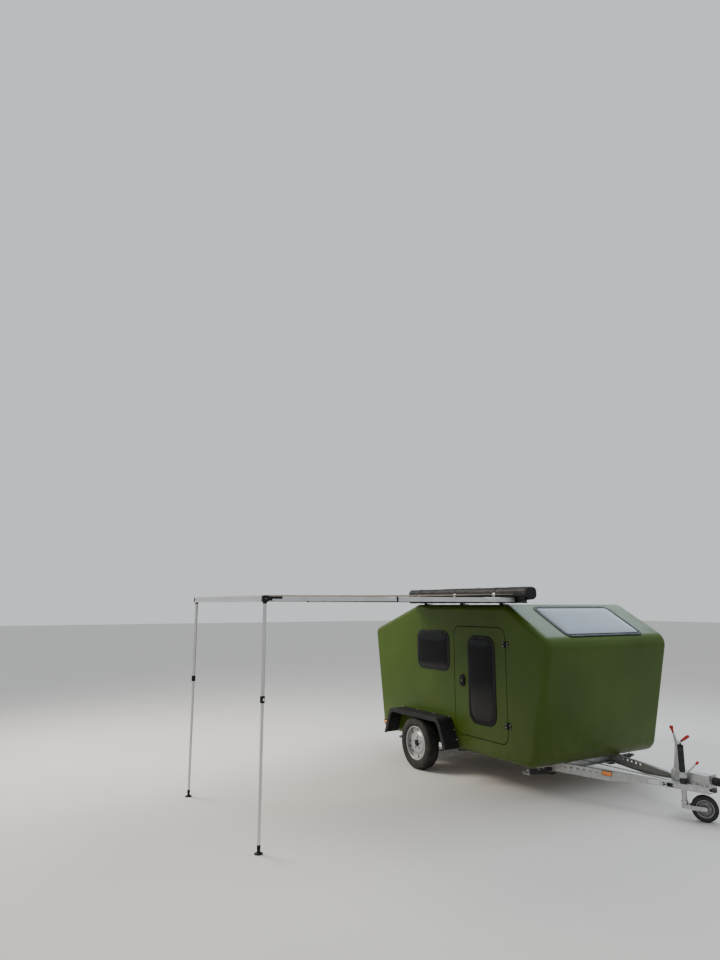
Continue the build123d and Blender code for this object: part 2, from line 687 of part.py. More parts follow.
def road_rim(centre, axis, across):
    """A pressed rim: barrel, dished disc with round holes, and brake drum on its back."""
    barrel = RIM_RADIUS - RIM_THICK
    step_out, step_in = DISC_STEP_RADII
    face = DISC_FACE + DISC_STEP
    back = DISC_FACE - DISC_THICK
    bore = SPINDLE_RADIUS + RUNNING_GAP
    rim = ring(
        (
            (RIM_RADIUS, -RIM_HALF_WIDTH), (RIM_RADIUS, RIM_HALF_WIDTH), (barrel, RIM_HALF_WIDTH),
            (barrel, DISC_FACE), (step_out, DISC_FACE), (step_in, face), (0, face), (0, back),
            (bore, back), (bore, -DRUM_REACH), (DRUM_RADIUS, -DRUM_REACH),
            (DRUM_RADIUS, DRUM_DEPTH - DRUM_REACH), (step_in, back), (barrel, back),
            (barrel, -RIM_HALF_WIDTH),
        ),
        centre, axis, across,
    )
    middle = Plane(origin=centre, x_dir=across, z_dir=axis)
    pitch = (barrel + step_out) / 2
    holes = PolarLocations(pitch, RIM_HOLE_COUNT) * Circle(RIM_HOLE_RADIUS)
    for hole in holes:
        rim -= extrude(middle.offset(back - OVERSHOOT) * hole, DISC_THICK + 2 * OVERSHOOT)
    return rim


for side, s in SIDES:
    frame = ((WHEEL_X, s * WHEEL_CENTRE_Y, TYRE_RADIUS), (0, s, 0), (1, 0, 0))
    nodes[f"tyre_{side}"] = tyre(*frame, TYRE_RADIUS, TYRE_WIDTH, RIM_RADIUS)
    nodes[f"rim_{side}"] = road_rim(*frame)

# Mudguards: an angular strip over the wheel with a turned-down outer lip
guard_slope = (GUARD_LOW_HALF - GUARD_TOP_HALF) / (GUARD_TOP_Z - GUARD_LOW_Z)
guard_outer_y = WHEEL_CENTRE_Y + TYRE_WIDTH / 2 + GUARD_TYRE_GAP


def guard_form(margin, overshoot, y0, y1):
    """The guard's side view, moved inwards by a margin and run on below its lower edge."""

    def half(z):
        return GUARD_LOW_HALF - (z - GUARD_LOW_Z) * guard_slope - margin * math.hypot(1, guard_slope)

    low = GUARD_LOW_Z - overshoot
    top = GUARD_TOP_Z - margin
    points = (
        (WHEEL_X - half(low), low),
        (WHEEL_X - half(top), top),
        (WHEEL_X + half(top), top),
        (WHEEL_X + half(low), low),
    )
    corner = GUARD_CORNER - margin
    return prism_y(points, y0, y1, (0, corner, corner, 0))


for side, s in SIDES:
    wall_y = s * HALF_WIDTH
    guard = guard_form(0, 0, wall_y, s * guard_outer_y)
    guard -= guard_form(GUARD_THICK, OVERSHOOT, wall_y, s * (guard_outer_y - GUARD_THICK))
    guard -= guard_form(GUARD_LIP, OVERSHOOT, wall_y, s * (guard_outer_y + OVERSHOOT))
    nodes[f"mudguard_{side}"] = guard


# Corner steadies
def steady(x, s):
    """A folded steady: open channel on the rail's web, leg with its pad, spindle with its round nose."""
    outer_y = HALF_WIDTH - STEADY_INSET
    inner_y = outer_y - STEADY_LENGTH
    low = STEADY_TOP - STEADY_HEIGHT
    half = STEADY_WIDTH / 2
    wall = half - STEADY_GAUGE
    web_y = RAIL_OUTER_Y - max(x - half - RAIL_BEND_X, 0) * rail_slope
    channel = block(x - half, x + half, s * web_y, s * outer_y, low, STEADY_TOP)
    channel -= block(x - wall, x + wall, -FAR, FAR, low - OVERSHOOT, STEADY_TOP - STEADY_GAUGE)
    pad_z = low - STEADY_LEG_DROP
    leg_half = STEADY_LEG_WIDTH / 2
    leg = prism_x(
        (
            (s * outer_y, STEADY_TOP - 2 * STEADY_GAUGE), (s * outer_y, low),
            (s * (inner_y + STEADY_PAD), pad_z), (s * inner_y, pad_z),
            (s * inner_y, pad_z + STEADY_PAD_THICK),
        ),
        x - leg_half, x + leg_half,
    )
    pad_half = STEADY_PAD / 2
    pad = block(
        x - pad_half, x + pad_half, s * inner_y, s * (inner_y + STEADY_PAD), pad_z - STEADY_PAD_THICK, pad_z
    )
    spindle_z = STEADY_TOP - STEADY_HEIGHT / 2
    pin_y = s * (outer_y - 2 * STEADY_PIN_RADIUS)
    pin = rod((x - half, pin_y, spindle_z), (x + half, pin_y, spindle_z), STEADY_PIN_RADIUS)
    nose_y = outer_y + STEADY_NOSE_LENGTH
    spindle = rod((x, s * outer_y, spindle_z), (x, s * nose_y, spindle_z), STEADY_SPINDLE_RADIUS)
    nose = rod((x, s * (outer_y + nose_y) / 2, spindle_z), (x, s * nose_y, spindle_z), STEADY_NOSE_RADIUS)
    return channel + leg + pin + pad + spindle + nose


nodes["corner_steadies"] = Part() + [steady(x, s) for x in STEADY_X for _, s in SIDES]

# Overrun device: base plate across both rails, casting with a flange, and the lever's bracket
base_plan = prism_z(frame_plan, RAIL_TOP, HOUSING_BOTTOM)
base_plate = base_plan & block(BASE_PLATE_REAR_X, DRAWBAR_END_X, -FAR, FAR, RAIL_TOP, HOUSING_BOTTOM)
casting = prism_x(
    (
        (-HOUSING_HALF_WIDTH, HOUSING_BOTTOM), (HOUSING_HALF_WIDTH, HOUSING_BOTTOM),
        (HOUSING_HALF_WIDTH, HOUSING_TOP), (-HOUSING_HALF_WIDTH, HOUSING_TOP),
    ),
    HOUSING_REAR_X, HOUSING_FRONT_X, (0, 0, HOUSING_CORNER, HOUSING_CORNER),
)
flange_half, flange_thick = HOUSING_FLANGE
flange = block(
    HOUSING_FRONT_X - flange_thick, HOUSING_FRONT_X, -flange_half, flange_half,
    HOUSING_BOTTOM, HOUSING_TOP + flange_thick,
)
housing = base_plate + casting + flange
pivot_x, pivot_z = LEVER_PIVOT
member_x = CROSS_MEMBER_X[-1] - CROSS_MEMBER_WIDTH / 2
member_top = RAIL_TOP - RAIL_GAUGE
plate_outline = (
    (member_x, member_top), (member_x + CROSS_MEMBER_WIDTH, member_top),
    (HOUSING_REAR_X, HOUSING_BOTTOM), (HOUSING_REAR_X, HOUSING_TOP),
    (pivot_x + CROSS_MEMBER_WIDTH, HOUSING_TOP + LEVER_PIN_RADIUS),
    (pivot_x - LEVER_PIN_RADIUS, HOUSING_TOP + LEVER_PIN_RADIUS), (member_x, pivot_z),
)
plate_inner = LEVER_THICK / 2 + LEVER_PLATE_GAP
plate_outer = plate_inner + LEVER_PLATE_THICK
for _, s in SIDES:
    housing += prism_y(plate_outline, s * plate_inner, s * plate_outer)
nodes["overrun_housing"] = housing

# Handbrake lever between the bracket plates, on its pin
lever_points = [Vector(*point) for point in (LEVER_PIVOT, LEVER_KNEE, LEVER_TIP)]
lever_sides = []
for i, half in enumerate(LEVER_HALF_WIDTHS):
    along = lever_points[min(i + 1, 2)] - lever_points[max(i - 1, 0)]
    step = Vector(-along.Y, along.X).normalized() * half
    lever_sides.append((lever_points[i] + step, lever_points[i] - step))
lever_outline = [left for left, _ in lever_sides] + [right for _, right in reversed(lever_sides)]
lever = prism_y([(p.X, p.Y) for p in lever_outline], -LEVER_THICK / 2, LEVER_THICK / 2)
lever += rod(
    (pivot_x, -LEVER_THICK / 2, pivot_z), (pivot_x, LEVER_THICK / 2, pivot_z), LEVER_HALF_WIDTHS[0]
)
nodes["handbrake_lever"] = lever + rod(
    (pivot_x, -plate_inner, pivot_z), (pivot_x, plate_inner, pivot_z), LEVER_PIN_RADIUS
)
tip_x, tip_z = LEVER_TIP
knob_along = (lever_points[2] - lever_points[1]).normalized() * KNOB_LENGTH
knob = rod((tip_x, 0, tip_z), (tip_x + knob_along.X, 0, tip_z + knob_along.Y), *KNOB_RADII)

# Bellows over the drawtube, and the coupling head
fold = BELLOWS_LENGTH / BELLOWS_FOLDS
bellows = [(DRAWTUBE_RADIUS, BELLOWS_LENGTH), (DRAWTUBE_RADIUS, 0.0), (BELLOWS_ROOT, 0.0)]
for i in range(BELLOWS_FOLDS):
    bellows.append((BELLOWS_RADIUS, (i + 0.5) * fold))
    bellows.append((BELLOWS_ROOT, (i + 1) * fold))
nodes["drawtube_bellows"] = ring(bellows, (HOUSING_FRONT_X, 0, DRAWTUBE_Z), (1, 0, 0), (0, 0, 1))

coupling_x = HOUSING_FRONT_X + BELLOWS_LENGTH
ball_x = coupling_x + COUPLING_LENGTH
ball_z = DRAWTUBE_Z - BALL_DROP
head_low = DRAWTUBE_Z - COUPLING_BELOW
head_top = DRAWTUBE_Z + COUPLING_ABOVE
head = prism_z(
    (
        (coupling_x, -COUPLING_NECK_HALF), (ball_x, -COUPLING_RADIUS),
        (ball_x, COUPLING_RADIUS), (coupling_x, COUPLING_NECK_HALF),
    ),
    head_low, head_top,
)
head += rod((ball_x, 0, head_low), (ball_x, 0, head_top), COUPLING_RADIUS)
head = chamfer(head.faces().sort_by(Axis.Z)[-1].outer_wire().edges(), COUPLING_ROUND)
head += rod((HOUSING_FRONT_X, 0, DRAWTUBE_Z), (coupling_x, 0, DRAWTUBE_Z), DRAWTUBE_RADIUS)
handle_top = head_top + HANDLE_RISE
handle = prism_y(
    (
        (ball_x, head_top), (coupling_x + COUPLING_RADIUS, handle_top), (coupling_x, handle_top),
        (coupling_x, handle_top - HANDLE_THICK), (coupling_x + COUPLING_RADIUS, handle_top - HANDLE_THICK),
        (ball_x - COUPLING_RADIUS, head_top),
    ),
    -HANDLE_WIDTH / 2, HANDLE_WIDTH / 2,
)
head += handle
head -= Pos(ball_x, 0, ball_z) * Sphere(BALL_RADIUS + BALL_GAP)
nodes["coupling_head"] = head - rod((ball_x, 0, 0), (ball_x, 0, ball_z), BALL_RADIUS + BALL_GAP)

# Nose wheel: clamp and outer tube are fixed, the inner tube slides, the fork swivels
nose_x, nose_y = NOSE_CENTRE
bore_radius = NOSE_TUBE_RADIUS - NOSE_TUBE_WALL
cap_z = NOSE_TUBE_TOP - NOSE_TUBE_CAP


def upright(z0, z1, radius):
    """A round bar on the nose wheel's own axis."""
    return rod((nose_x, nose_y, z0), (nose_x, nose_y, z1), radius)


spindle_radius, spindle_rise = CRANK_SPINDLE
crank_pivot = Vector(nose_x, nose_y, NOSE_TUBE_TOP + spindle_rise)
crank_along = Vector(*CRANK_SLANT).normalized()
crank_end = crank_pivot + crank_along * CRANK_LINK_LENGTH
outer_tube = upright(NOSE_TUBE_BOTTOM, NOSE_TUBE_TOP, NOSE_TUBE_RADIUS)
outer_tube -= upright(NOSE_TUBE_BOTTOM, cap_z, bore_radius)
outer_tube += upright(NOSE_TUBE_TOP, NOSE_TUBE_TOP + spindle_rise + spindle_radius, spindle_radius)
outer_tube += rod(crank_pivot, crank_end, spindle_radius)
nodes["nose_outer_tube"] = outer_tube
crank_grip = rod(crank_end, crank_end + crank_along * CRANK_GRIP_LENGTH, CRANK_GRIP_RADIUS)

clamp_low = HOUSING_TOP - CLAMP_HEIGHT
clamp = upright(clamp_low, HOUSING_TOP, CLAMP_RADIUS) + block(
    nose_x - NOSE_TUBE_RADIUS, nose_x + NOSE_TUBE_RADIUS, nose_y, -HOUSING_HALF_WIDTH,
    clamp_low, HOUSING_TOP - HOUSING_CORNER,
)
clamp &= block(-FAR, FAR, -FAR, -HOUSING_HALF_WIDTH, clamp_low, HOUSING_TOP)
bar_start = Vector(nose_x + NOSE_TUBE_RADIUS, nose_y, HOUSING_TOP - CLAMP_HEIGHT / 2)
bar_end = bar_start + Vector(*CLAMP_BAR)
clamp += rod(bar_start, bar_end, CLAMP_BAR_RADIUS)
nodes["nose_clamp"] = clamp - upright(clamp_low, HOUSING_TOP + FAR, NOSE_TUBE_RADIUS)
clamp_grip = rod(
    bar_end, bar_end + Vector(*CLAMP_BAR).normalized() * CLAMP_GRIP_LENGTH, CLAMP_GRIP_RADIUS
)
nodes["red_grips"] = Part() + [knob, crank_grip, clamp_grip]

slider_bottom = FORK_HEAD_TOP + KNUCKLE_END_GAP
stem_top = slider_bottom + NOSE_STEM_LENGTH
slider = upright(slider_bottom, cap_z - NOSE_SLIDE_HEAD, bore_radius - NOSE_SLIDE_GAP)
slider -= upright(slider_bottom, stem_top + OVERSHOOT, NOSE_STEM_RADIUS + RUNNING_GAP)
nodes["nose_slide_tube"] = slider

heading = Vector(math.cos(math.radians(NOSE_HEADING)), math.sin(math.radians(NOSE_HEADING)), 0)
nose_side = Vector(-heading.Y, heading.X, 0)
nose_hub = Vector(nose_x, nose_y, NOSE_TYRE_RADIUS) + heading * NOSE_REACH
fork_half = NOSE_TYRE_WIDTH / 2 + FORK_GAP
fork_outer = fork_half + FORK_THICK
arm_z = NOSE_TYRE_RADIUS + FORK_ARM_RISE
yoke_front = NOSE_REACH - NOSE_TYRE_RADIUS - FORK_YOKE_GAP
fork_plane = Plane(origin=(nose_x, nose_y, 0), x_dir=heading, z_dir=(0, 0, 1))
fork = block(0, yoke_front, -fork_outer, fork_outer, arm_z - FORK_ARM_HALF, arm_z + FORK_ARM_HALF)
for _, s in SIDES:
    fork += prism_y(
        (
            (0, arm_z - FORK_ARM_HALF), (NOSE_REACH, NOSE_TYRE_RADIUS - FORK_ARM_HALF),
            (NOSE_REACH, NOSE_TYRE_RADIUS + FORK_ARM_HALF), (0, arm_z + FORK_ARM_HALF),
        ),
        s * fork_half, s * fork_outer,
    )
    fork += rod(
        (NOSE_REACH, s * fork_half, NOSE_TYRE_RADIUS), (NOSE_REACH, s * fork_outer, NOSE_TYRE_RADIUS),
        FORK_ARM_HALF,
    )
axle_end = fork_outer + NOSE_AXLE_END
fork += rod(
    (NOSE_REACH, -axle_end, NOSE_TYRE_RADIUS), (NOSE_REACH, axle_end, NOSE_TYRE_RADIUS), NOSE_AXLE_RADIUS
)
fork = fork_plane * fork + upright(arm_z - FORK_ARM_HALF, FORK_HEAD_TOP, FORK_HEAD_RADIUS)
nodes["nose_fork"] = fork + upright(FORK_HEAD_TOP, stem_top, NOSE_STEM_RADIUS)

nose_frame = (nose_hub, tuple(nose_side), tuple(heading))
nodes["nose_tyre"] = tyre(*nose_frame, NOSE_TYRE_RADIUS, NOSE_TYRE_WIDTH, NOSE_RIM_RADIUS)
nose_bore = NOSE_AXLE_RADIUS + RUNNING_GAP
hub_half = fork_half - KNUCKLE_END_GAP
rim_edge = TYRE_SECTION[0][1] * NOSE_TYRE_WIDTH / 2
rim_section = [(nose_bore, hub_half), (FORK_ARM_HALF, hub_half), (FORK_ARM_HALF + RIM_THICK, RIM_THICK)]
rim_section += [(NOSE_RIM_RADIUS - NOSE_RIM_DISC, RIM_THICK), (NOSE_RIM_RADIUS, rim_edge)]
nodes["nose_rim"] = ring(
    [*rim_section, *((r, -along) for r, along in reversed(rim_section))], *nose_frame
)

# Cabin inside: bulkhead, galley shelf and mattress
bulkhead = (BULKHEAD_X - BOARD_HALF_THICK, BULKHEAD_X + BOARD_HALF_THICK)
nodes["bulkhead"] = cabin_room & block(*bulkhead, -FAR, FAR, FLOOR_TOP, ROOF_Z)
shelf_half = HALF_WIDTH - SHELF_INSET
nodes["galley_shelf"] = block(
    bulkhead[0] - SHELF_DEPTH, bulkhead[0], -shelf_half, shelf_half, SHELF_Z, SHELF_Z + SHELF_THICK
)
mattress_half = HALF_WIDTH - MATTRESS_INSET
nodes["mattress"] = block(
    bulkhead[1] + MATTRESS_GAP, MATTRESS_FRONT_X, -mattress_half, mattress_half,
    FLOOR_TOP, FLOOR_TOP + MATTRESS_THICK,
)

# Awning bag on its roof brackets
case_outline = (
    (CASE_OUTER_Y, CASE_BOTTOM), (CASE_INNER_Y, CASE_BOTTOM), (CASE_INNER_Y, CASE_TOP), (CASE_OUTER_Y, CASE_TOP)
)
nodes["awning_case"] = prism_x(case_outline, CASE_REAR_X, CASE_FRONT_X, CASE_CORNER)
brackets = []
strut_y = CASE_INNER_Y - BRACKET_SETBACK
for x in BRACKET_X:
    sides = (x - BRACKET_WIDTH / 2, x + BRACKET_WIDTH / 2)
    foot = block(*sides, strut_y, strut_y + BRACKET_FOOT, ROOF_Z, ROOF_Z + BRACKET_THICK)
    brackets.append(foot + block(*sides, strut_y, strut_y + BRACKET_THICK, ROOF_Z, CASE_BOTTOM))
nodes["awning_brackets"] = Part() + brackets

# Awning arms, lead bar and cloth
awning_y = -(HALF_WIDTH + AWNING_REACH)
awning_z = CASE_BOTTOM + ARM_RISE
bar_half = AWNING_BAR_SIZE / 2
bar_low = awning_z - bar_half
bar_top = awning_z + bar_half
nodes["awning_bar"] = block(
    AWNING_REAR_X, AWNING_FRONT_X, awning_y - bar_half, awning_y + bar_half, bar_low, bar_top
)


def arm_run(x, section, y0, y1):
    """A straight length of one awning arm."""
    width, height = section
    return block(x - width / 2, x + width / 2, y0, y1, awning_z - height / 2, awning_z + height / 2)


arm_joint_y = CASE_OUTER_Y - ARM_OUTER_LENGTH
arm_offset = ARM_SECTION[0] / 2 + ARM_SIDE_GAP
arms = []
for x in (AWNING_REAR_X + arm_offset, AWNING_FRONT_X - arm_offset):
    outer_arm = arm_run(x, ARM_SECTION, CASE_OUTER_Y, arm_joint_y)
    arms.append(outer_arm + arm_run(x, ARM_INNER_SECTION, arm_joint_y, awning_y + bar_half))
nodes["awning_arms"] = Part() + arms
slot_z = CASE_TOP - CLOTH_SLOT_DROP
nodes["awning_cloth"] = prism_x(
    (
        (awning_y, bar_top), (CASE_OUTER_Y, slot_z),
        (CASE_OUTER_Y, slot_z + CLOTH_THICK), (awning_y, bar_top + CLOTH_THICK),
    ),
    AWNING_REAR_X + CLOTH_INSET, AWNING_FRONT_X - CLOTH_INSET,
)

# Awning legs: the upper tube is fixed under the bar, the lower one slides in it
leg_places = (("rear", AWNING_REAR_X + LEG_INSET), ("front", AWNING_FRONT_X - LEG_INSET))
sleeves = []
for name, x in leg_places:
    def leg_bar(z0, z1, radius):
        return rod((x, awning_y, z0), (x, awning_y, z1), radius)

    sleeve = leg_bar(LEG_UPPER_BOTTOM, bar_low, LEG_UPPER_RADIUS)
    sleeves.append(sleeve - leg_bar(LEG_UPPER_BOTTOM, bar_low - LEG_PLUG, LEG_UPPER_RADIUS - LEG_UPPER_WALL))
    foot = leg_bar(0, LEG_FOOT_THICK, LEG_FOOT_RADIUS)
    nodes[f"awning_leg_{name}"] = foot + leg_bar(LEG_FOOT_THICK, LEG_LOWER_TOP, LEG_LOWER_RADIUS)
nodes["awning_leg_sleeves"] = Part() + sleeves

# Move everything so that the origin is under the middle of the parked trailer
whole = Compound(children=[Compound(part.solids()) for part in nodes.values()])
extent = whole.bounding_box(optimal=True)
origin_x = (extent.min.X + extent.max.X) / 2
origin_y = (extent.min.Y + extent.max.Y) / 2
shift = Location((-origin_x, -origin_y, 0))

os.makedirs("parts", exist_ok=True)
for name, part in nodes.items():
    moved = [solid.moved(shift) for solid in part.solids()]
    shape = moved[0] if len(moved) == 1 else Compound(children=moved)
    export_step(shape, f"parts/{name}.step")


def datum(label, point, axis):
    """Prints one joint's place and axis in the finished frame."""
    x, y, z = point
    placed = (x - origin_x, y - origin_y, z)
    print("datum", label, *(round(value, 4) for value in placed), *(round(value, 6) for value in axis))


print("extent", [round(value, 3) for value in (*extent.min, *extent.max)])
for side, s in SIDES:
    datum(f"door_{side}", (door_hinge_x, s * (HALF_WIDTH + HINGE_OFFSET), DOOR_HINGE_Z[0]), (0, 0, -s))
    datum(f"wheel_{side}", (WHEEL_X, s * WHEEL_CENTRE_Y, TYRE_RADIUS), (0, 1, 0))
datum("rear_hatch", tuple(rear_face.from_local_coords((HATCH_DROP, 0, HINGE_OFFSET))), (0, 1, 0))
datum("nose_slide", (*NOSE_CENTRE, NOSE_TUBE_BOTTOM), (0, 0, 1))
datum("nose_fork", (*NOSE_CENTRE, FORK_HEAD_TOP), (0, 0, 1))
datum("nose_wheel", tuple(nose_hub), tuple(nose_side))
for name, x in leg_places:
    datum(f"awning_leg_{name}", (x, awning_y, LEG_UPPER_BOTTOM), (0, 0, 1))
datum("ball", (ball_x, 0, ball_z), (0, 0, -1))
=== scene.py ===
from math import acos, atan2, cos, exp, hypot, pi, radians, sin, sqrt, tan

import bmesh
import bpy
from mathutils import Matrix, Vector, noise


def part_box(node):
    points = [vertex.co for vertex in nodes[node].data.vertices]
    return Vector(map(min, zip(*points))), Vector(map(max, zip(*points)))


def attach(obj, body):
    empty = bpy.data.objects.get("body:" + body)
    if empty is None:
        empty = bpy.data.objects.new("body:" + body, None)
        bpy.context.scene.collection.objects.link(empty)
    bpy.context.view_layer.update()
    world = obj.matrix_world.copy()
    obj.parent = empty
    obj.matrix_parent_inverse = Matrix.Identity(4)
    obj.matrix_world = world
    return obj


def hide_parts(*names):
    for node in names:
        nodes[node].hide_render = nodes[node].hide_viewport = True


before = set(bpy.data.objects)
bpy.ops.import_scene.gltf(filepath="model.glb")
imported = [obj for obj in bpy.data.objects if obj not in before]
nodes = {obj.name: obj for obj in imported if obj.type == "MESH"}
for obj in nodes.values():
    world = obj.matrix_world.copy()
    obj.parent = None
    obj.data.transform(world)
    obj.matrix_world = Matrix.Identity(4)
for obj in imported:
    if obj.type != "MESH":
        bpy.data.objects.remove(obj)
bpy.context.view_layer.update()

# Everything below is drawn in millimetres in the drawing frame: X forward with 0 at the front
# crease of the body, Y left with 0 on the centre line, Z up from the floor. SHIFT moves it into
# the row frame, in metres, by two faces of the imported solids.
MM = 0.001
UP = Vector((0, 0, 1))
AHEAD = Vector((1, 0, 0))
SIDES = (("right", -1), ("left", 1))

# Sizes of the CAD part that the dressed pieces are set by
BODY_HALF = 850
SLOPE_LOW, SLOPE_HIGH = (0, 1426), (-554, 1757)
REAR_LOW, REAR_HIGH = (-2770, 284), (-2953, 1463)
WHEEL_X = -1885
WHEEL_Y = 942
WHEEL_Z = 270
NOSE_X, NOSE_Y = 690, -82
HOUSING_Z = 337
CASE_REAR_X, CASE_FRONT_X = -2163, -233
CASE_OUT_Y, CASE_IN_Y = -880, -730
CASE_LOW_Z, CASE_HIGH_Z = 1800, 1930
BRACKET_X = (-1950, -1300, -680)
BAR_Y, BAR_Z = -3438, 1802
ARM_X = (-2100, -380)
LEG_X = (-2094, -386)

SHIFT = Vector((
    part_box("awning_case")[1].x - CASE_FRONT_X * MM,
    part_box("side_wall_right")[0].y + BODY_HALF * MM,
    0,
))
TO_ROW = Matrix.Translation(SHIFT) @ Matrix.Scale(MM, 4)


# Materials
class Look:
    """A procedural material: one Principled shader and the nodes that vary it over the surface."""

    def __init__(self, name, color, rough, metal=0, **inputs):
        self.mat = bpy.data.materials.new(name)
        self.mat.use_nodes = True
        self.tree = self.mat.node_tree
        self.shader = self.tree.nodes["Principled BSDF"]
        self.fill(self.shader, Base_Color=color, Roughness=rough, Metallic=metal, **inputs)
        self.coord = self.node("TexCoord").outputs["Object"]
        self.relief = None

    def put(self, socket, value):
        """Links or sets one input; a colour has three values."""
        if isinstance(value, bpy.types.NodeSocket):
            self.tree.links.new(value, socket)
        elif socket.type == "RGBA":
            socket.default_value = (*value, 1)
        else:
            socket.default_value = value

    def fill(self, node, **values):
        """Sets up a node: names with a capital are inputs, and the others are settings."""
        for name, value in values.items():
            if name[0].isupper():
                self.put(node.inputs[name.replace("_", " ")], value)
            else:
                setattr(node, name, value)
        return node

    def node(self, kind, **values):
        return self.fill(self.tree.nodes.new("ShaderNode" + kind), **values)

    def noise(self, scale, detail=3, soft=0.55, stretch=None, warp=0):
        place = self.coord
        if stretch:
            place = self.node("Mapping", Vector=self.coord, Scale=stretch).outputs["Vector"]
        settings = {"Scale": scale, "Detail": detail, "Roughness": soft, "Distortion": warp}
        return self.node("TexNoise", Vector=place, **settings).outputs["Fac"]

    def cells(self, scale, feature="F1", output="Distance"):
        return self.node("TexVoronoi", feature=feature, Vector=self.coord, Scale=scale).outputs[output]

    def threads(self, pitch, direction):
        made = self.node("TexWave", bands_direction=direction, Vector=self.coord, Scale=pitch)
        return made.outputs["Fac"]

    def math(self, operation, a, b=0):
        made = self.node("Math", operation=operation)
        for socket, value in zip(made.inputs, (a, b)):
            self.put(socket, value)
        return made.outputs[0]

    def span(self, value, low, high, out_low=0, out_high=1):
        """A value taken from one range to another, and held inside it."""
        ends = {"From_Min": low, "From_Max": high, "To_Min": out_low, "To_Max": out_high}
        return self.node("MapRange", clamp=True, Value=value, **ends).outputs["Result"]

    def patches(self, scale, detail, low, high, out_low=0, out_high=1, soft=0.55, stretch=None):
        """Noise taken to a range."""
        return self.span(self.noise(scale, detail, soft, stretch), low, high, out_low, out_high)

    def mix(self, factor, a, b):
        """A colour between two others: for colours, the node's inputs in use are 0, 6 and 7."""
        made = self.node("Mix", data_type="RGBA")
        for index, value in ((0, factor), (6, a), (7, b)):
            self.put(made.inputs[index], value)
        return made.outputs[2]

    def height_of(self, source):
        """The Z of the piece's own position or normal."""
        vector = self.node("TexCoord").outputs["Normal"] if source == "Normal" else self.coord
        return self.node("SeparateXYZ", Vector=vector).outputs["Z"]

    def vectors(self, operation, a, b, output):
        made = self.node("VectorMath", operation=operation)
        self.put(made.inputs[0], a)
        self.put(made.inputs[1], b)
        return made.outputs[output]

    def bump(self, height, distance, strength=1):
        """Adds a height in metres to the relief."""
        made = self.node("Bump", Height=height, Distance=distance, Strength=strength)
        if self.relief:
            self.put(made.inputs["Normal"], self.relief)
        self.relief = made.outputs["Normal"]

    def done(self, color, rough=None):
        """The material, with its colour, its roughness and the relief laid on so far."""
        inputs = {"Base_Color": color, "Roughness": rough, "Normal": self.relief}
        self.fill(self.shader, **{name: value for name, value in inputs.items() if value})
        return self.mat


def toned(color, share, lift=0):
    """A colour made darker or paler."""
    return tuple(min(c * share + lift, 1) for c in color)


GREEN = (0.040, 0.074, 0.006)
GREEN_DEEP = (0.033, 0.062, 0.0045)
GREEN_PALE = (0.049, 0.085, 0.008)
LINER = (0.50, 0.48, 0.43)
LINER_SHADE = (0.44, 0.42, 0.38)
BLACK = (0.014, 0.014, 0.015)
DUST = (0.30, 0.24, 0.17)
GRIME = (0.14, 0.11, 0.08)
CABIN_MIDDLE = tuple(TO_ROW @ Vector((-1400, 0, 1000)))


def gelcoat(name, proud=None, lined=None):
    """Moulded green gelcoat: a pale liner on faces that look into the cabin, behind a plane where one
    is given, and black parts proud of another plane. A plane is its normal and its distance."""
    look = Look(name, GREEN, 0.38, Coat_Weight=0.04, Coat_Roughness=0.16, Specular_IOR_Level=0.17)

    def beyond(normal, distance):
        return look.math("GREATER_THAN", look.vectors("DOT_PRODUCT", look.coord, normal, "Value"), distance)

    color = look.mix(look.patches(1.1, 2, 0.3, 0.7), GREEN_DEEP, GREEN_PALE)
    color = look.mix(look.patches(900, 2, 0.62, 0.8, 0, 0.25), color, GREEN)
    low_down = look.span(look.height_of("Object"), 0.28, 0.62, 0.12, 0)
    dusty = look.math("MULTIPLY", low_down, look.patches(9, 5, 0.35, 0.7, soft=0.65))
    color = look.mix(dusty, color, DUST)
    streak = look.patches(14, 4, 0.56, 0.78, 0, 0.05, 0.6, (6, 6, 0.5))
    color = look.mix(streak, color, DUST)
    rough = look.patches(5, 6, 0.3, 0.75, 0.30, 0.46, 0.6)
    away = look.vectors("SUBTRACT", look.coord, CABIN_MIDDLE, "Vector")
    facing = look.vectors("DOT_PRODUCT", look.node("TexCoord").outputs["Normal"], away, "Value")
    inner = look.math("LESS_THAN", facing, -0.02)
    if lined:
        inner = look.math("MULTIPLY", inner, look.math("SUBTRACT", 1, beyond(*lined)))
    color = look.mix(inner, color, look.mix(look.noise(700, 2), LINER_SHADE, LINER))
    rough = look.math("MAXIMUM", rough, look.math("MULTIPLY", inner, 0.9))
    if proud:
        outside = beyond(*proud)
        color = look.mix(outside, color, BLACK)
        rough = look.math("ADD", rough, look.math("MULTIPLY", outside, 0.12))
    look.bump(look.noise(260, 2), 0.00025)
    look.bump(look.noise(3, 2), 0.0025, 0.5)
    return look.done(color, rough)


def plastic(name, color, rough, grain=420, depth=0.00025, dust=0.04):
    """Moulded plastic or rubber with a fine grain and a little dust."""
    look = Look(name, color, rough, Specular_IOR_Level=0.16)
    shade = look.mix(look.patches(7, 5, 0.35, 0.7, soft=0.6), color, toned(color, 1.5, 0.004))
    shade = look.mix(look.patches(16, 6, 0.52, 0.8, 0, dust, 0.7), shade, DUST)
    look.bump(look.cells(grain), depth)
    return look.done(shade, look.patches(11, 5, 0.3, 0.7, rough - 0.08, rough + 0.1))


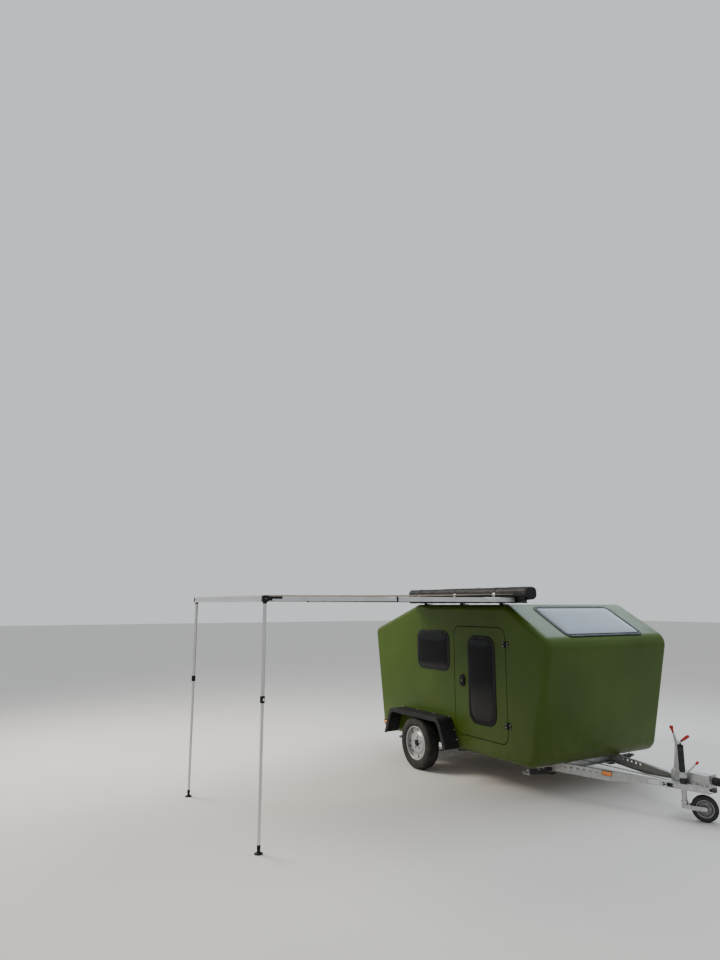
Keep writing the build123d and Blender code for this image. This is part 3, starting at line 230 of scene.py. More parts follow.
def metal(name, color, rough, metallic=0.85, spangle=0, brush=None, pits=0, grime=0.15):
    """Bare or plated metal: spangle for galvanising, a brush direction, casting pits and grime."""
    look = Look(name, color, rough, metallic)
    shade = look.mix(look.noise(6, 5, 0.6), toned(color, 0.78), toned(color, 1.12))
    uneven = look.patches(9, 6, 0.3, 0.72, rough - 0.09, rough + 0.16, 0.65)
    if spangle:
        flake = look.node("SeparateColor", Color=look.cells(spangle, output="Color"))
        shade = look.mix(look.span(flake.outputs[0], 0, 1, 0, 0.42), shade, toned(color, 1.5))
        uneven = look.math("ADD", uneven, look.span(flake.outputs[1], 0, 1, -0.07, 0.08))
    if brush:
        lines = look.noise(60, 3, 0.7, stretch=brush)
        uneven = look.math("ADD", uneven, look.span(lines, 0.3, 0.7, -0.05, 0.07))
        look.bump(lines, 0.00004)
    if pits:
        look.bump(look.noise(pits, 3), 0.0004)
    return look.done(look.mix(look.patches(12, 7, 0.55, 0.8, 0, grime, 0.7), shade, GRIME), uneven)


def woven(name, color, pitch, rough=0.85, sheen=0.25, depth=0.0004, coarse=0, shine=0.4):
    """Cloth: two sets of threads over and under, with a slub and slow fading."""
    look = Look(name, color, rough, Sheen_Weight=sheen, Sheen_Roughness=0.45, Specular_IOR_Level=shine)
    steep = look.math("LESS_THAN", look.math("ABSOLUTE", look.height_of("Normal")), 0.75)
    upright = look.math("MULTIPLY", look.threads(pitch, "Z"), steep)
    sets = [look.math("MAXIMUM", look.threads(pitch, axis), upright) for axis in "XY"]
    threads = look.math("MULTIPLY", *sets)
    slub = look.noise(pitch * 0.35, 4, 0.6, stretch=(1, 0.15, 1))
    dark = toned(color, 0.72)
    shade = look.mix(look.span(threads, 0, 1), dark, color)
    shade = look.mix(look.span(slub, 0.35, 0.7, 0, 0.6), shade, toned(color, 1.18))
    look.bump(threads, depth)
    if coarse:
        look.bump(look.noise(coarse, 3), 0.0012, 0.6)
    return look.done(look.mix(look.patches(2.5, 5, 0.4, 0.75, 0, 0.35, 0.6), shade, dark))


def timber(name, color, ring=16):
    """Varnished plywood with grain along X."""
    look = Look(name, color, 0.42, Coat_Weight=0.25, Coat_Roughness=0.2)
    grain = look.noise(ring, 6, 0.62, stretch=(0.35, 4, 4), warp=0.6)
    fine = look.noise(ring * 9, 3, 0.6, stretch=(0.2, 3, 3))
    shade = look.mix(look.span(grain, 0.3, 0.72), toned(color, 0.66), toned(color, 1.15))
    shade = look.mix(look.span(fine, 0.5, 0.8, 0, 0.4), shade, toned(color, 0.5))
    look.bump(fine, 0.0001)
    return look.done(shade, look.span(fine, 0.3, 0.7, 0.36, 0.52))


def lens(name, color, ribs, rough=0.12):
    """A lamp lens or reflector: clear coloured plastic over small prisms."""
    look = Look(name, color, rough, Coat_Weight=0.8, Coat_Roughness=0.04, Specular_IOR_Level=0.6)
    prism = look.cells(ribs, "SMOOTH_F1")
    look.bump(prism, 0.0007)
    shade = look.mix(look.span(prism, 0.1, 0.6), toned(color, 1.6, 0.02), color)
    return look.done(shade, look.patches(20, 5, 0.3, 0.7, rough, rough + 0.1))


def acrylic(name, color, clear, mirror):
    """Dark tinted acrylic, which lets some of the cabin show through."""
    look = Look(name, color, 0.04, Transmission_Weight=clear, IOR=1.45, Specular_IOR_Level=mirror)
    look.bump(look.noise(2.2, 2), 0.004, 0.35)
    shade = look.mix(look.noise(3, 3), color, toned(color, 1.6))
    return look.done(shade, look.patches(6, 6, 0.4, 0.8, 0.03, 0.12, 0.65))


plastic_black = plastic("moulded_black", (0.006, 0.006, 0.007), 0.46)
plastic_guard = plastic("guard_black", (0.012, 0.012, 0.013), 0.6, 300, 0.0005, 0.10)
rubber_seal = plastic("seal_rubber", (0.012, 0.012, 0.012), 0.7, 600, 0.0001, 0.05)
rubber_soft = plastic("bellows_rubber", (0.020, 0.020, 0.020), 0.62, 500, 0.0002, 0.25)
rubber_tyre = plastic("tyre_rubber", (0.026, 0.025, 0.024), 0.78, 700, 0.0002, 0.16)
red_plastic = plastic("red_plastic", (0.30, 0.022, 0.018), 0.38, 500, 0.0001, 0.08)
paint_dark = plastic("dark_paint", (0.020, 0.020, 0.021), 0.42, 260, 0.0001, 0.2)
zinc_dip = metal("galvanised_steel", (0.42, 0.42, 0.41), 0.40, 0.72, spangle=55)
zinc_cast = metal("cast_zinc", (0.36, 0.37, 0.37), 0.46, 0.7, pits=320, grime=0.25)
paint_silver = metal("silver_paint", (0.40, 0.40, 0.40), 0.38, 0.55, pits=500)
paint_grey = metal("grey_paint", (0.16, 0.155, 0.15), 0.42, 0.45, pits=500, grime=0.4)
steel_bright = metal("plated_steel", (0.58, 0.58, 0.57), 0.26, 0.95, brush=(1, 1, 12))
aluminium = metal("anodised_aluminium", (0.60, 0.60, 0.59), 0.34, brush=(0.2, 14, 14), grime=0.08)
aluminium_leg = metal("anodised_leg", (0.56, 0.56, 0.55), 0.36, brush=(14, 14, 0.2), grime=0.1)
ply = timber("varnished_ply", (0.46, 0.32, 0.18))
lens_red = lens("red_lens", (0.34, 0.012, 0.010), 190)
lens_amber = lens("amber_lens", (0.62, 0.16, 0.012), 190)
lens_clear = lens("clear_lens", (0.62, 0.62, 0.60), 150)
tint = acrylic("tinted_acrylic", (0.004, 0.004, 0.005), 0.22, 0.12)
tint_front = acrylic("tinted_front", (0.010, 0.011, 0.013), 0.08, 0.5)
blank_plate = metal("blank_plate", (0.62, 0.62, 0.60), 0.38, 0.25, pits=160, grime=0.08)


# Building surfaces
def turned(count, start=0):
    """Angles evenly round a circle."""
    return [start + 2 * pi * i / count for i in range(count)]


def rounded(width, height, radius, steps=8):
    """A rounded rectangle about the origin, counterclockwise."""
    radius = max(min(radius, width / 2, height / 2), 0.01)
    points = []
    for i, (sx, sy) in enumerate(((1, 1), (-1, 1), (-1, -1), (1, -1))):
        centre_x, centre_y = sx * (width / 2 - radius), sy * (height / 2 - radius)
        for j in range(steps + 1):
            angle = radians(90 * (i + j / steps))
            points.append((centre_x + radius * cos(angle), centre_y + radius * sin(angle)))
    return points


def shrink(outline, distance):
    """A closed convex outline pulled in by a distance, corner for corner."""
    count = len(outline)
    moved = []
    for i, (x, y) in enumerate(outline):
        before = Vector((x, y)) - Vector(outline[i - 1])
        after = Vector(outline[(i + 1) % count]) - Vector((x, y))
        if before.length < 1e-6:
            before = after
        if after.length < 1e-6:
            after = before
        first, second = before.normalized(), after.normalized()
        square = Vector((-first.y, first.x))
        bisector = square + Vector((-second.y, second.x))
        bisector = bisector.normalized() if bisector.length > 1e-6 else square
        reach = distance / max(bisector.dot(square), 0.3)
        moved.append((x + bisector.x * reach, y + bisector.y * reach))
    return moved


def face_frame(origin, across, along, out):
    """A matrix whose X, Y and Z are the given directions at a point."""
    return Matrix.Translation(origin) @ Matrix((across, along, out)).transposed().to_4x4()


def out_of(face):
    """The way that a face's matrix looks."""
    return face.to_3x3() @ UP


def basis(axis):
    """Two directions square to an axis, and the axis, each of length one."""
    axis = Vector(axis).normalized()
    start = UP if abs(axis.z) < 0.9 else AHEAD
    first = axis.cross(start).normalized()
    return first, axis.cross(first).normalized(), axis


def curve(points, per=6):
    """A smooth line through points."""
    points = [Vector(p) for p in points]
    ends = [points[0] * 2 - points[1], *points, points[-1] * 2 - points[-2]]
    line = []
    for a, b, c, d in zip(ends, ends[1:], ends[2:], ends[3:]):
        for t in (i / per for i in range(per)):
            square, cube = 2 * a - 5 * b + 4 * c - d, 3 * b - 3 * c + d - a
            line.append(0.5 * (2 * b + (c - a) * t + square * t * t + cube * t ** 3))
    return line + [points[-1]]


def bend(points, radius, steps=8):
    """A run of straight lines with its corners rounded."""
    points = [Vector(p) for p in points]
    line = [points[0]]
    for before, corner, after in zip(points, points[1:], points[2:]):
        first, second = (before - corner).normalized(), (after - corner).normalized()
        half = acos(max(-1, min(1, first.dot(second)))) / 2
        centre = corner + (first + second).normalized() * (radius / sin(half))
        start, end = (corner + way * (radius / tan(half)) - centre for way in (first, second))
        turn = start.angle(end)
        for share in (k / steps for k in range(steps + 1)):
            arc = start * sin((1 - share) * turn) + end * sin(share * turn)
            line.append(centre + arc / sin(turn))
    return line + [points[-1]]


def linked(name, data):
    """A new object in the scene."""
    made = bpy.data.objects.new(name, data)
    bpy.context.scene.collection.objects.link(made)
    return made


class Mesh:
    """Collects surfaces in the drawing frame, in millimetres, and makes one piece of them."""

    def __init__(self, *materials):
        self.bm = bmesh.new()
        self.materials = materials
        self.index = 0

    def use(self, index):
        """Which of the materials what follows is made of."""
        self.index = index
        return self

    def add(self, points, faces, matrix=None):
        made = [self.bm.verts.new(matrix @ Vector(p) if matrix else p) for p in points]
        for face in faces:
            new = self.bm.faces.new([made[i] for i in face])
            new.material_index = self.index
            new.smooth = True
        return self

    def skin(self, rings, matrix=None, caps=True, join=False):
        """Faces between rings of points, one after the other, with flat ends or joined end to end."""
        count, size = len(rings), len(rings[0])
        faces = []
        for i in range(count if join else count - 1):
            a, b = i * size, (i + 1) % count * size
            faces += [(a + j, a + (j + 1) % size, b + (j + 1) % size, b + j) for j in range(size)]
        if caps and not join:
            faces.append(tuple(reversed(range(size))))
            faces.append(tuple(range((count - 1) * size, count * size)))
        return self.add([p for ring in rings for p in ring], faces, matrix)

    def box(self, low, high, edge=0, steps=2, matrix=None):
        """A box with rounded edges between two corners."""
        scratch = bmesh.new()
        bmesh.ops.create_cube(scratch, size=1)
        low, high = Vector(low), Vector(high)
        for v in scratch.verts:
            v.co = Vector((v.co[i] * (high[i] - low[i]) + (high[i] + low[i]) / 2 for i in range(3)))
        if edge:
            rims = scratch.edges[:]
            bmesh.ops.bevel(scratch, geom=rims, offset=edge, segments=steps, profile=0.5, affect="EDGES")
        bmesh.ops.recalc_face_normals(scratch, faces=scratch.faces)
        scratch.verts.index_update()
        points = [v.co.copy() for v in scratch.verts]
        faces = [[v.index for v in face.verts] for face in scratch.faces]
        scratch.free()
        return self.add(points, faces, matrix)

    def slab(self, outline, low, high, edge, matrix=None, steps=3):
        """An outline of (x, y) points between two heights, the rims rounded by pulling loops in."""
        rings = []
        for way in (1, -1):
            for angle in (pi / 2 * i / steps for i in range(steps + 1)):
                pull, rise = edge * (1 - sin(angle)), edge * (1 - cos(angle))
                if way < 0:
                    pull, rise = rise, pull
                level = low + rise if way > 0 else high - rise
                rings.append([(x, y, level) for x, y in shrink(outline, pull)])
        return self.skin(rings, matrix)

    def lathe(self, profile, centre, axis, steps=48, join=False):
        """A line of (radius, along) points turned about an axis."""
        u, v, w = basis(axis)
        centre = Vector(centre)
        spokes = [u * cos(a) + v * sin(a) for a in turned(steps)]
        rings = [[centre + w * along + spoke * radius for spoke in spokes] for radius, along in profile]
        return self.skin(rings, join=join)

    def stud(self, profile, face, x=0, y=0, z=0, steps=18):
        """A lathed shape that stands on a face."""
        return self.lathe(profile, face @ Vector((x, y, z)), out_of(face), steps)

    def tube(self, path, radius, sides=12, join=False, flat=1):
        """A round bar along a path; flat squeezes it."""
        path = [Vector(p) for p in path]
        last = len(path) - 1
        rings = []
        side = None
        for i, point in enumerate(path):
            before, after = path[max(i - 1, 0)], path[min(i + 1, last)]
            if join:
                before, after = path[i - 1], path[(i + 1) % len(path)]
            ahead = (after - before).normalized()
            if side is None:
                side = basis(ahead)[0]
            side = (side - ahead * side.dot(ahead)).normalized()
            up = ahead.cross(side)
            rings.append([
                point + (side * cos(a) + up * sin(a) * flat) * radius for a in turned(sides)
            ])
        return self.skin(rings, join=join)

    def sweep(self, section, start, end):
        """A closed section of (side, up) points run level and straight from start to end."""
        start, end = Vector(start), Vector(end)
        side = UP.cross((end - start).normalized()).normalized()
        return self.skin([[point + side * x + UP * y for x, y in section] for point in (start, end)])

    def bolt(self, centre, axis, size=13, height=None, washer=True, nut=False):
        """A hexagon head with a chamfer on a washer, standing on a face."""
        height = height or size * 0.42
        u, v, w = basis(axis)
        centre = Vector(centre)
        if washer:
            rim, bore = size * 0.92, size * 0.3
            self.lathe([(bore, 0), (rim, 0), (rim, size * 0.10), (bore, size * 0.13)], centre, axis, 24)
            centre = centre + w * size * 0.11
        corners = [(u * cos(a) + v * sin(a)) * size / sqrt(3) for a in turned(6)]
        self.skin([
            [centre + w * level + corner * scale for corner in corners]
            for scale, level in ((1, 0), (1, height * 0.82), (0.86, height))
        ])
        if nut:
            end = size * 0.29
            self.lathe([(end, 0), (end, height * 1.45), (end * 0.8, height * 1.6)], centre, axis, 16)
        return self

    def data(self, name):
        """The mesh in the row frame."""
        bmesh.ops.transform(self.bm, matrix=TO_ROW, verts=self.bm.verts)
        bmesh.ops.recalc_face_normals(self.bm, faces=self.bm.faces[:])
        made = bpy.data.meshes.new(name)
        self.bm.to_mesh(made)
        self.bm.free()
        for material in self.materials:
            made.materials.append(material)
        return made

    def piece(self, name, slot, replaces=(), body="trailer", sharp=38):
        """The finished object, on its body."""
        made = linked(name, self.data(name))
        made.data.set_sharp_from_angle(angle=radians(sharp))
        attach(made, body)
        if replaces:
            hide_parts(*replaces)
        return made


def dress(name, material, sharp=30):
    """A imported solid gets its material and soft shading."""
    data = nodes[name].data
    data.materials.clear()
    data.materials.append(material)
    data.shade_smooth()
    data.set_sharp_from_angle(angle=radians(sharp))


LINER_DEPTH = 0.0296
PROUD = 0.0006
SKIN_SHARP = 24
skin_plain = gelcoat("gelcoat")
for name in ("front_panel", "front_slope", "roof_panel", "rear_slope"):
    dress(name, skin_plain, SKIN_SHARP)
for side, s in SIDES:
    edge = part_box("side_wall_left")[1].y if s > 0 else -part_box("side_wall_right")[0].y
    out = (0, s, 0)
    lined = (out, edge - LINER_DEPTH)
    dress(f"side_wall_{side}", gelcoat(f"gelcoat_wall_{side}", None, lined), SKIN_SHARP)
    dress(f"door_{side}", gelcoat(f"gelcoat_door_{side}", (out, edge + PROUD), lined))
rear_up = Vector((REAR_HIGH[0] - REAR_LOW[0], 0, REAR_HIGH[1] - REAR_LOW[1])).normalized()
rear_out = Vector((-rear_up.z, 0, rear_up.x))
rear_edge = (TO_ROW @ Vector((REAR_LOW[0], 0, REAR_LOW[1]))).dot(rear_out)
lined = (rear_out, rear_edge - LINER_DEPTH)
dress("rear_frame", gelcoat("gelcoat_rear_frame", None, lined), SKIN_SHARP)
dress("rear_hatch", gelcoat("gelcoat_rear_hatch", (rear_out, rear_edge + PROUD), lined))
for material, names in (
    (ply, ("floor_panel", "bulkhead", "galley_shelf")),
    (zinc_dip, ("chassis_rail_right", "chassis_rail_left", "cross_members", "axle_beam", "overrun_housing",
                "handbrake_lever", "nose_clamp", "nose_slide_tube", "nose_fork")),
    (zinc_cast, ("swing_arm_right", "swing_arm_left", "coupling_head")),
    (plastic_guard, ("mudguard_right", "mudguard_left")),
    (plastic_black, ("body_hinges",)),
    (paint_dark, ("corner_steadies", "nose_outer_tube", "awning_brackets")),
    (paint_silver, ("rim_right", "rim_left")),
    (paint_grey, ("nose_rim",)),
    (blank_plate, ("number_board",)),
):
    for name in names:
        dress(name, material)


# Openings: in a side, by ends, lower and upper edge and corner radius, and in a sloping face, by
# width, height and corner radius, with the drop from the face's upper edge
DOOR = (-1366, -570, 441, 1537, 90)
DOOR_WINDOW = (-1118, -745, 600, 1425, 95)
SIDE_WINDOW = (-2009, -1461, 1073, 1458, 80)
FRONT_WINDOW = (1056, 500, 55)
FRONT_WINDOW_DROP = 62
HATCH = (1360, 860, 90)
HATCH_DROP = 110
LAMP_DROP = 1045


# Places on the body's faces: X to the right as one looks at the face, Y up it, Z away from the body
def side_face(s, x, z):
    return face_frame((x, s * BODY_HALF, z), (-s, 0, 0), UP, (0, s, 0))


def sloping_face(lower, upper, out, drop):
    """On the front slope or the rear face, at a drop from its upper edge; out is 1 or -1 along X."""
    lower, upper = Vector((lower[0], 0, lower[1])), Vector((upper[0], 0, upper[1]))
    up = (upper - lower).normalized()
    away = Vector((0, 1, 0)).cross(up)
    if away.x * out < 0:
        away = -away
    return face_frame(upper - up * drop, up.cross(away), up, away)


def rear_face(drop):
    return sloping_face(REAR_LOW, REAR_HIGH, -1, drop)


def centred(opening):
    """The middle and the size of an opening in a side."""
    x0, x1, z0, z1, corner = opening
    return (x0 + x1) / 2, (z0 + z1) / 2, (x1 - x0, z1 - z0, corner)


def band(size, section):
    """Rings of a rounded rectangle that follow a section of (outwards, height) points."""
    width, height, corner = size
    return [
        [(x, y, level) for x, y in rounded(width + 2 * out, height + 2 * out, max(corner + out, 4), 10)]
        for out, level in section
    ]


# Windows: the lip outside, the trim inside, the seal and the bulged pane, as sections of (outwards,
# height) points
LIP = (
    (-13, -9), (-13, 3.4), (-11, 5.4), (9, 6.9), (16, 6.2), (20, 4.2), (21.5, 1.6), (21.5, 0), (-0.3, 0),
    (-0.3, -9),
)
INNER_TRIM = (
    (-4, -9.5), (-4, -35.5), (-1, -37), (22, -37), (26, -35), (27, -30.2), (-0.3, -30.2), (-0.3, -9.5),
)
PANE_SEAL = ((-16, 3.5), (-15, 6.6), (-12.5, 7.4), (-10, 6.2), (-10, 3.5))
PANE = ((-14, -7), (-14, 4.2), (-16, 5.4), (-30, 6.6), (-60, 8.4), (-95, 9.6), (-140, 10.2))
STAY_HALF = 21


def window(name, faces, size, body, slot_node, glass, stays=False):
    """Black frames, their trims and panes, with two stays along the top where they open."""
    frames = Mesh(plastic_black, rubber_seal)
    panes = Mesh(glass)
    top = size[1] / 2
    for face in faces:
        for index, section in ((0, LIP), (0, INNER_TRIM), (1, PANE_SEAL)):
            frames.use(index).skin(band(size, section), face, join=True)
        panes.skin(band(size, PANE), face)
        frames.use(0)
        for x in (-size[0] * 0.28, size[0] * 0.28) if stays else ():
            frames.box((x - STAY_HALF, top - 34, 5.5), (x + STAY_HALF, top + 2, 9.4), 1.6, matrix=face)
            for dx in (-12, 12):
                frames.stud([(3.4, 0), (3.4, 0.7), (2.2, 1.5)], face, x + dx, top - 20, 9.2, 12)
    frames.piece(f"{name}_frames", "black_plastic", body=body)
    panes.piece(f"{name}_panes", "glazing", [slot_node], body=body, sharp=50)


x, z, size = centred(SIDE_WINDOW)
window("side_window", [side_face(s, x, z) for _, s in SIDES], size, "trailer", "side_windows", tint, True)
x, z, size = centred(DOOR_WINDOW)
for side, s in SIDES:
    window(f"door_window_{side}", [side_face(s, x, z)], size, f"door_{side}", f"door_window_{side}", tint)
front = sloping_face(SLOPE_LOW, SLOPE_HIGH, 1, FRONT_WINDOW_DROP + FRONT_WINDOW[1] / 2)
window("front_window", [front], FRONT_WINDOW, "trailer", "front_window", tint_front)


# Seals in the gaps round the doors and the hatch
GAP_SEAL = ((-6.9, -27), (-6.9, -8), (-5.6, -5.4), (-4, -4.6), (-2.4, -5.4), (-1.1, -8), (-1.1, -27))
seals = Mesh(rubber_seal)
x, z, size = centred(DOOR)
for _, s in SIDES:
    seals.skin(band(size, GAP_SEAL), side_face(s, x, z), join=True)
seals.skin(band(HATCH, GAP_SEAL), rear_face(HATCH_DROP + HATCH[1] / 2), join=True)
seals.piece("opening_seals", "rubber")


# Oval locks: a raised rim and a turning paddle, as sections of (outwards, height) points, and a key barrel
LOCK_CENTRE = (-1230, 983)
LOCK_SHAPES = (
    (78, 120, ((1.5, 0.1), (1.5, 9), (0.2, 12), (-3, 13.6), (-7, 13.2), (-9, 9.4))),
    (46, 92, ((0, 9.2), (0, 11.5), (-2, 13.6), (-7, 15.2))),
)
BARREL = ((10.5, 14.6), (10.5, 17), (9.6, 18), (8.2, 18.2), (7.8, 17.2), (4, 17), (1, 17))


def lock(mesh, face, scale=1):
    """A lock on a face, its width and height scaled and its rise kept."""
    for width, height, section in LOCK_SHAPES:
        mesh.use(0).skin([
            [((width * scale / 2 + out) * cos(a), (height * scale / 2 + out) * sin(a), level)
             for a in turned(64)]
            for out, level in section
        ], face)
    mesh.use(1).stud(BARREL, face, steps=36)
    mesh.use(0).box((-1.1, -5.5, 16.6), (1.1, 5.5, 17.6), matrix=face)


for side, s in SIDES:
    locks = Mesh(plastic_black, paint_grey)
    lock(locks, side_face(s, *LOCK_CENTRE))
    locks.piece(f"door_lock_{side}", "black_plastic", body=f"door_{side}")

# Screws and end caps of the external hinges: way is 1 on the moving half
HINGE_X = -570
HINGE_Z = (623, 1374)
HINGE_OUT = 13
KNUCKLE = 26
LEAF_SCREW = ((4.6, 3.7), (4.6, 5), (3.2, 6.2), (1.2, 6.3))
PIN_CAP = ((9, 0), (9.4, 1.2), (8, 3.2), (3, 4.4))
for side, s in SIDES:
    halves = (("door_hinge_screws", f"door_{side}", 1), ("wall_hinge_screws", "trailer", -1))
    for name, body, way in halves:
        screws = Mesh(plastic_black, steel_bright)
        for z in HINGE_Z:
            face = side_face(s, HINGE_X, z)
            for along, across in ((-15, 30), (0, 20), (15, 30)):
                screws.use(1).stud(LEAF_SCREW, face, s * way * across, along)
            screws.use(0).lathe(PIN_CAP, face @ Vector((0, way * KNUCKLE, HINGE_OUT)), UP * way, 24)
        screws.piece(f"{name}_{side}", "dark_steel", body=body)

# Catches and grab handle of the hatch
CATCH_RISE = 92
CATCH_Y = 470
CATCH_SUNK = 8.9
CATCH_SCALE = 0.8
GRIP_HALF = 120
grip = rear_face(HATCH_DROP + HATCH[1] - CATCH_RISE)
catches = Mesh(plastic_black, paint_grey)
for y in (-CATCH_Y, CATCH_Y):
    lock(catches, grip @ Matrix.Translation((y, 0, -CATCH_SUNK)), CATCH_SCALE)
half_grip = ((GRIP_HALF, 0), (118, 16), (96, 30))
bow = [(-x, 0, z) for x, z in half_grip] + [(0, 0, 34)] + [(x, 0, z) for x, z in reversed(half_grip)]
catches.use(0).tube([grip @ p for p in curve(bow)], 9, 14)
for x in (-GRIP_HALF, GRIP_HALF):
    catches.stud([(20, 0), (20, 3), (17, 6), (9, 8)], grip, x, steps=28)
catches.piece("hatch_catches", "black_plastic", body="rear_hatch")

# Rear lamps: on a black base, a red lens between an amber one inwards and a clear one outwards, with
# the places of their ends on the lamp that is on the left from behind
LAMP_Y = 560
LENSES = ((2, 50, 114), (1, -52, 48), (3, -114, -54))
lamps = Mesh(plastic_black, lens_red, lens_amber, lens_clear)
for s in (-1, 1):
    base = rear_face(LAMP_DROP) @ Matrix.Translation((s * LAMP_Y, 0, 0))
    lamps.use(0).slab(rounded(240, 96, 20), 0, 16, 4, base)
    for index, x0, x1 in LENSES:
        outline = [((x0 + x1) / 2 + x, y) for x, y in rounded(x1 - x0, 84, 13)]
        if s > 0:
            outline = [(-x, y) for x, y in reversed(outline)]
        lamps.use(index).slab(outline, 14, 33, 5, base)
lamps.piece("rear_lamp_units", "lamp", ["rear_lamps"])

# Blank number board: rim, screws and its small lamp
BOARD = (520, 116, 8)
BOARD_RIM = ((-5, 9.5), (-5, 12), (-3, 13), (3, 13), (5, 11), (5, 0.2), (0.3, 0.2), (0.3, 9.5))
trim = Mesh(plastic_black, steel_bright, lens_clear)
board = rear_face(LAMP_DROP)
trim.skin(band(BOARD, BOARD_RIM), board, join=True)
for x in (-180, 180):
    trim.use(1).stud([(6.5, 9.5), (6.5, 11), (4, 12.6), (1.5, 12.8)], board, x, 20)
trim.use(0).box((-52, 62, 0), (52, 92, 26), 5, 3, board)
trim.use(2).box((-38, 60.5, 4), (38, 63, 22), 1, 2, board)
trim.piece("number_board_trim", "black_plastic")

# Amber side markers low at the rear, in black bezels
MARKER_CENTRE = (-2705, 372)
markers = Mesh(plastic_black, lens_amber)
for _, s in SIDES:
    spot = side_face(s, *MARKER_CENTRE)
    markers.use(0).slab(rounded(92, 38, 10), 0, 7, 2.5, spot)
    markers.use(1).slab(rounded(76, 24, 7), 6, 13, 3.5, spot)
markers.piece("side_markers", "lamp")


# Mattress: a foam block in a tufted cover, blown up by a cloth simulation, with piped edges
def dense(outline, step):
    """An outline with more points along its long runs."""
    points = []
    for i, start in enumerate(outline):
        start, end = Vector(start), Vector(outline[(i + 1) % len(outline)])
        count = max(1, int((end - start).length / step))
        points += [tuple(start.lerp(end, k / count)) for k in range(count)]
    return points


def evaluated(holder):
    """The mesh that an object's modifiers make, in its place."""
    made = bpy.data.meshes.new_from_object(holder.evaluated_get(bpy.context.evaluated_depsgraph_get()))
    bpy.data.objects.remove(holder)
    return made


def remeshed(start, voxel):
    """A copy of a mesh as even quads of one size."""
    holder = linked("remesh_work", start)
    change = holder.modifiers.new("remesh", "REMESH")
    change.mode = "VOXEL"
    change.voxel_size = voxel
    return evaluated(holder)


def inflated(start, held, pressure, frames, cap):
    """Blender's cloth blown up from inside, its held points fixed, no point moved beyond a cap."""
    holder = linked("cloth_work", start)
    pins = holder.vertex_groups.new(name="held")
    pins.add([v.index for v in start.vertices if held(v.co)], 1, "REPLACE")
    cloth = holder.modifiers.new("cloth", "CLOTH")
    cloth.settings.quality = 4
    cloth.settings.use_pressure = True
    cloth.settings.uniform_pressure_force = pressure
    cloth.settings.vertex_group_mass = "held"
    cloth.settings.effector_weights.gravity = 0
    cloth.collision_settings.use_collision = False
    cloth.point_cache.frame_end = frames
    for number in range(1, frames + 1):
        bpy.context.scene.frame_set(number)
    blown = evaluated(holder)
    for before, after in zip(start.vertices, blown.vertices):
        move = after.co - before.co
        if move.length > cap:
            after.co = before.co + move * (cap / move.length)
    bpy.context.scene.frame_set(1)
    return blown


def quilted():
    """The pad, blown up between its tufts and its lower edge, and its piping and buttons."""
    cover = woven("mattress_cover", (0.50, 0.49, 0.45), 420, sheen=0.15, coarse=30)
    piping = woven("mattress_piping", (0.34, 0.33, 0.30), 700, sheen=0.1)
    rear, front, half, bottom, top = -2306, -442, 698, 341, 468
    inset, crown, across, deep = 9, 8, 5, 6
    length, crest = front - rear, top - crown
    plan = [((rear + front) / 2 + x, y) for x, y in rounded(length, 2 * half, 46)]
    outline = dense(plan, 26)
    # The tufts stand in rows along the bed, each row half a step on from the last
    tufts = [
        (rear + length * (i + 0.5 * (1 + j % 2) - 0.25) / deep, half * ((2 * j + 1) / across - 1), crest)
        for i in range(deep) for j in range(across)
    ]
    spots = [TO_ROW @ Vector(tuft) for tuft in tufts]

    def held(point):
        low_down = point.z < (bottom + 6) * MM
        return low_down or any((point - spot).length < 0.019 for spot in spots)

    core = Mesh(cover).slab(shrink(outline, inset), bottom, crest, 14).data("mattress_core")
    blown = inflated(remeshed(core, 0.013), held, 3, 16, (crown - 0.5) * MM)
    pad = Mesh(cover)
    pad.bm.from_mesh(blown)
    bmesh.ops.transform(pad.bm, matrix=TO_ROW.inverted(), verts=pad.bm.verts)
    for face in pad.bm.faces:
        face.smooth = True
    pad.piece("mattress_pad", "mattress_cloth", ["mattress"], sharp=80)
    trim = Mesh(piping, cover)
    for level in (bottom + 13, crest - 13):
        trim.tube([(x, y, level) for x, y in shrink(outline, 3.4)], 3.2, 8, join=True)
    for tuft in tufts:
        trim.lathe([(4, -1), (11, 0.2), (11.5, 1.6), (8, 2.8), (2, 3.2)], tuft, UP, 20)
    trim.piece("mattress_piping", "mattress_cloth", sharp=50)


quilted()


# Tyres: each row of a half section is its distance from the middle, its radius, and how deep the
# grooves round the tyre and those across it are cut there, where they are
ROAD_ROWS = (
    (0, 269.9), (7.2, 269.9), (7.8, 269.9, 6), (12.2, 269.8, 6), (12.8, 269.8), (20, 269.5),
    (20.6, 269.5, 0, 5), (31.4, 268.9, 0, 5), (32, 268.9, 6.5), (37.4, 268.3, 6.5), (38, 268.2, 0, 6),
    (50, 266.4, 0, 6), (58, 264.4, 0, 5.5), (63.5, 261.2, 0, 5), (67, 256.6, 0, 4), (70, 250.5),
    (73.4, 243), (75.6, 234), (76.8, 232.6), (76.8, 230), (76, 228.4), (77.2, 219), (77.4, 210),
    (76.2, 202), (73.4, 195), (72.2, 194), (68, 186), (62.5, 179.6), (59, 175.4), (55, 172.4),
)
NOSE_ROWS = (
    (0, 103.9), (3.2, 103.9), (3.7, 103.9, 2.6), (6.3, 103.8, 2.6), (6.8, 103.8), (13, 103.5),
    (13.5, 103.4, 2.6), (16, 103.2, 2.6), (16.5, 103.1), (22, 102), (26, 99.6), (29, 95.6),
    (30.6, 90), (30.8, 84), (30, 78), (27.6, 72.4), (24.6, 68.6), (22.6, 66.2),
)
# Places of the cuts inside one pitch of the tread, and their share of the depth
CUTS = ((0, 0), (0.03, 1), (0.19, 1), (0.22, 0), (0.48, 0), (0.51, 0.6), (0.57, 0.6), (0.6, 0), (0.8, 0))
MIDDLE_RIB = 13


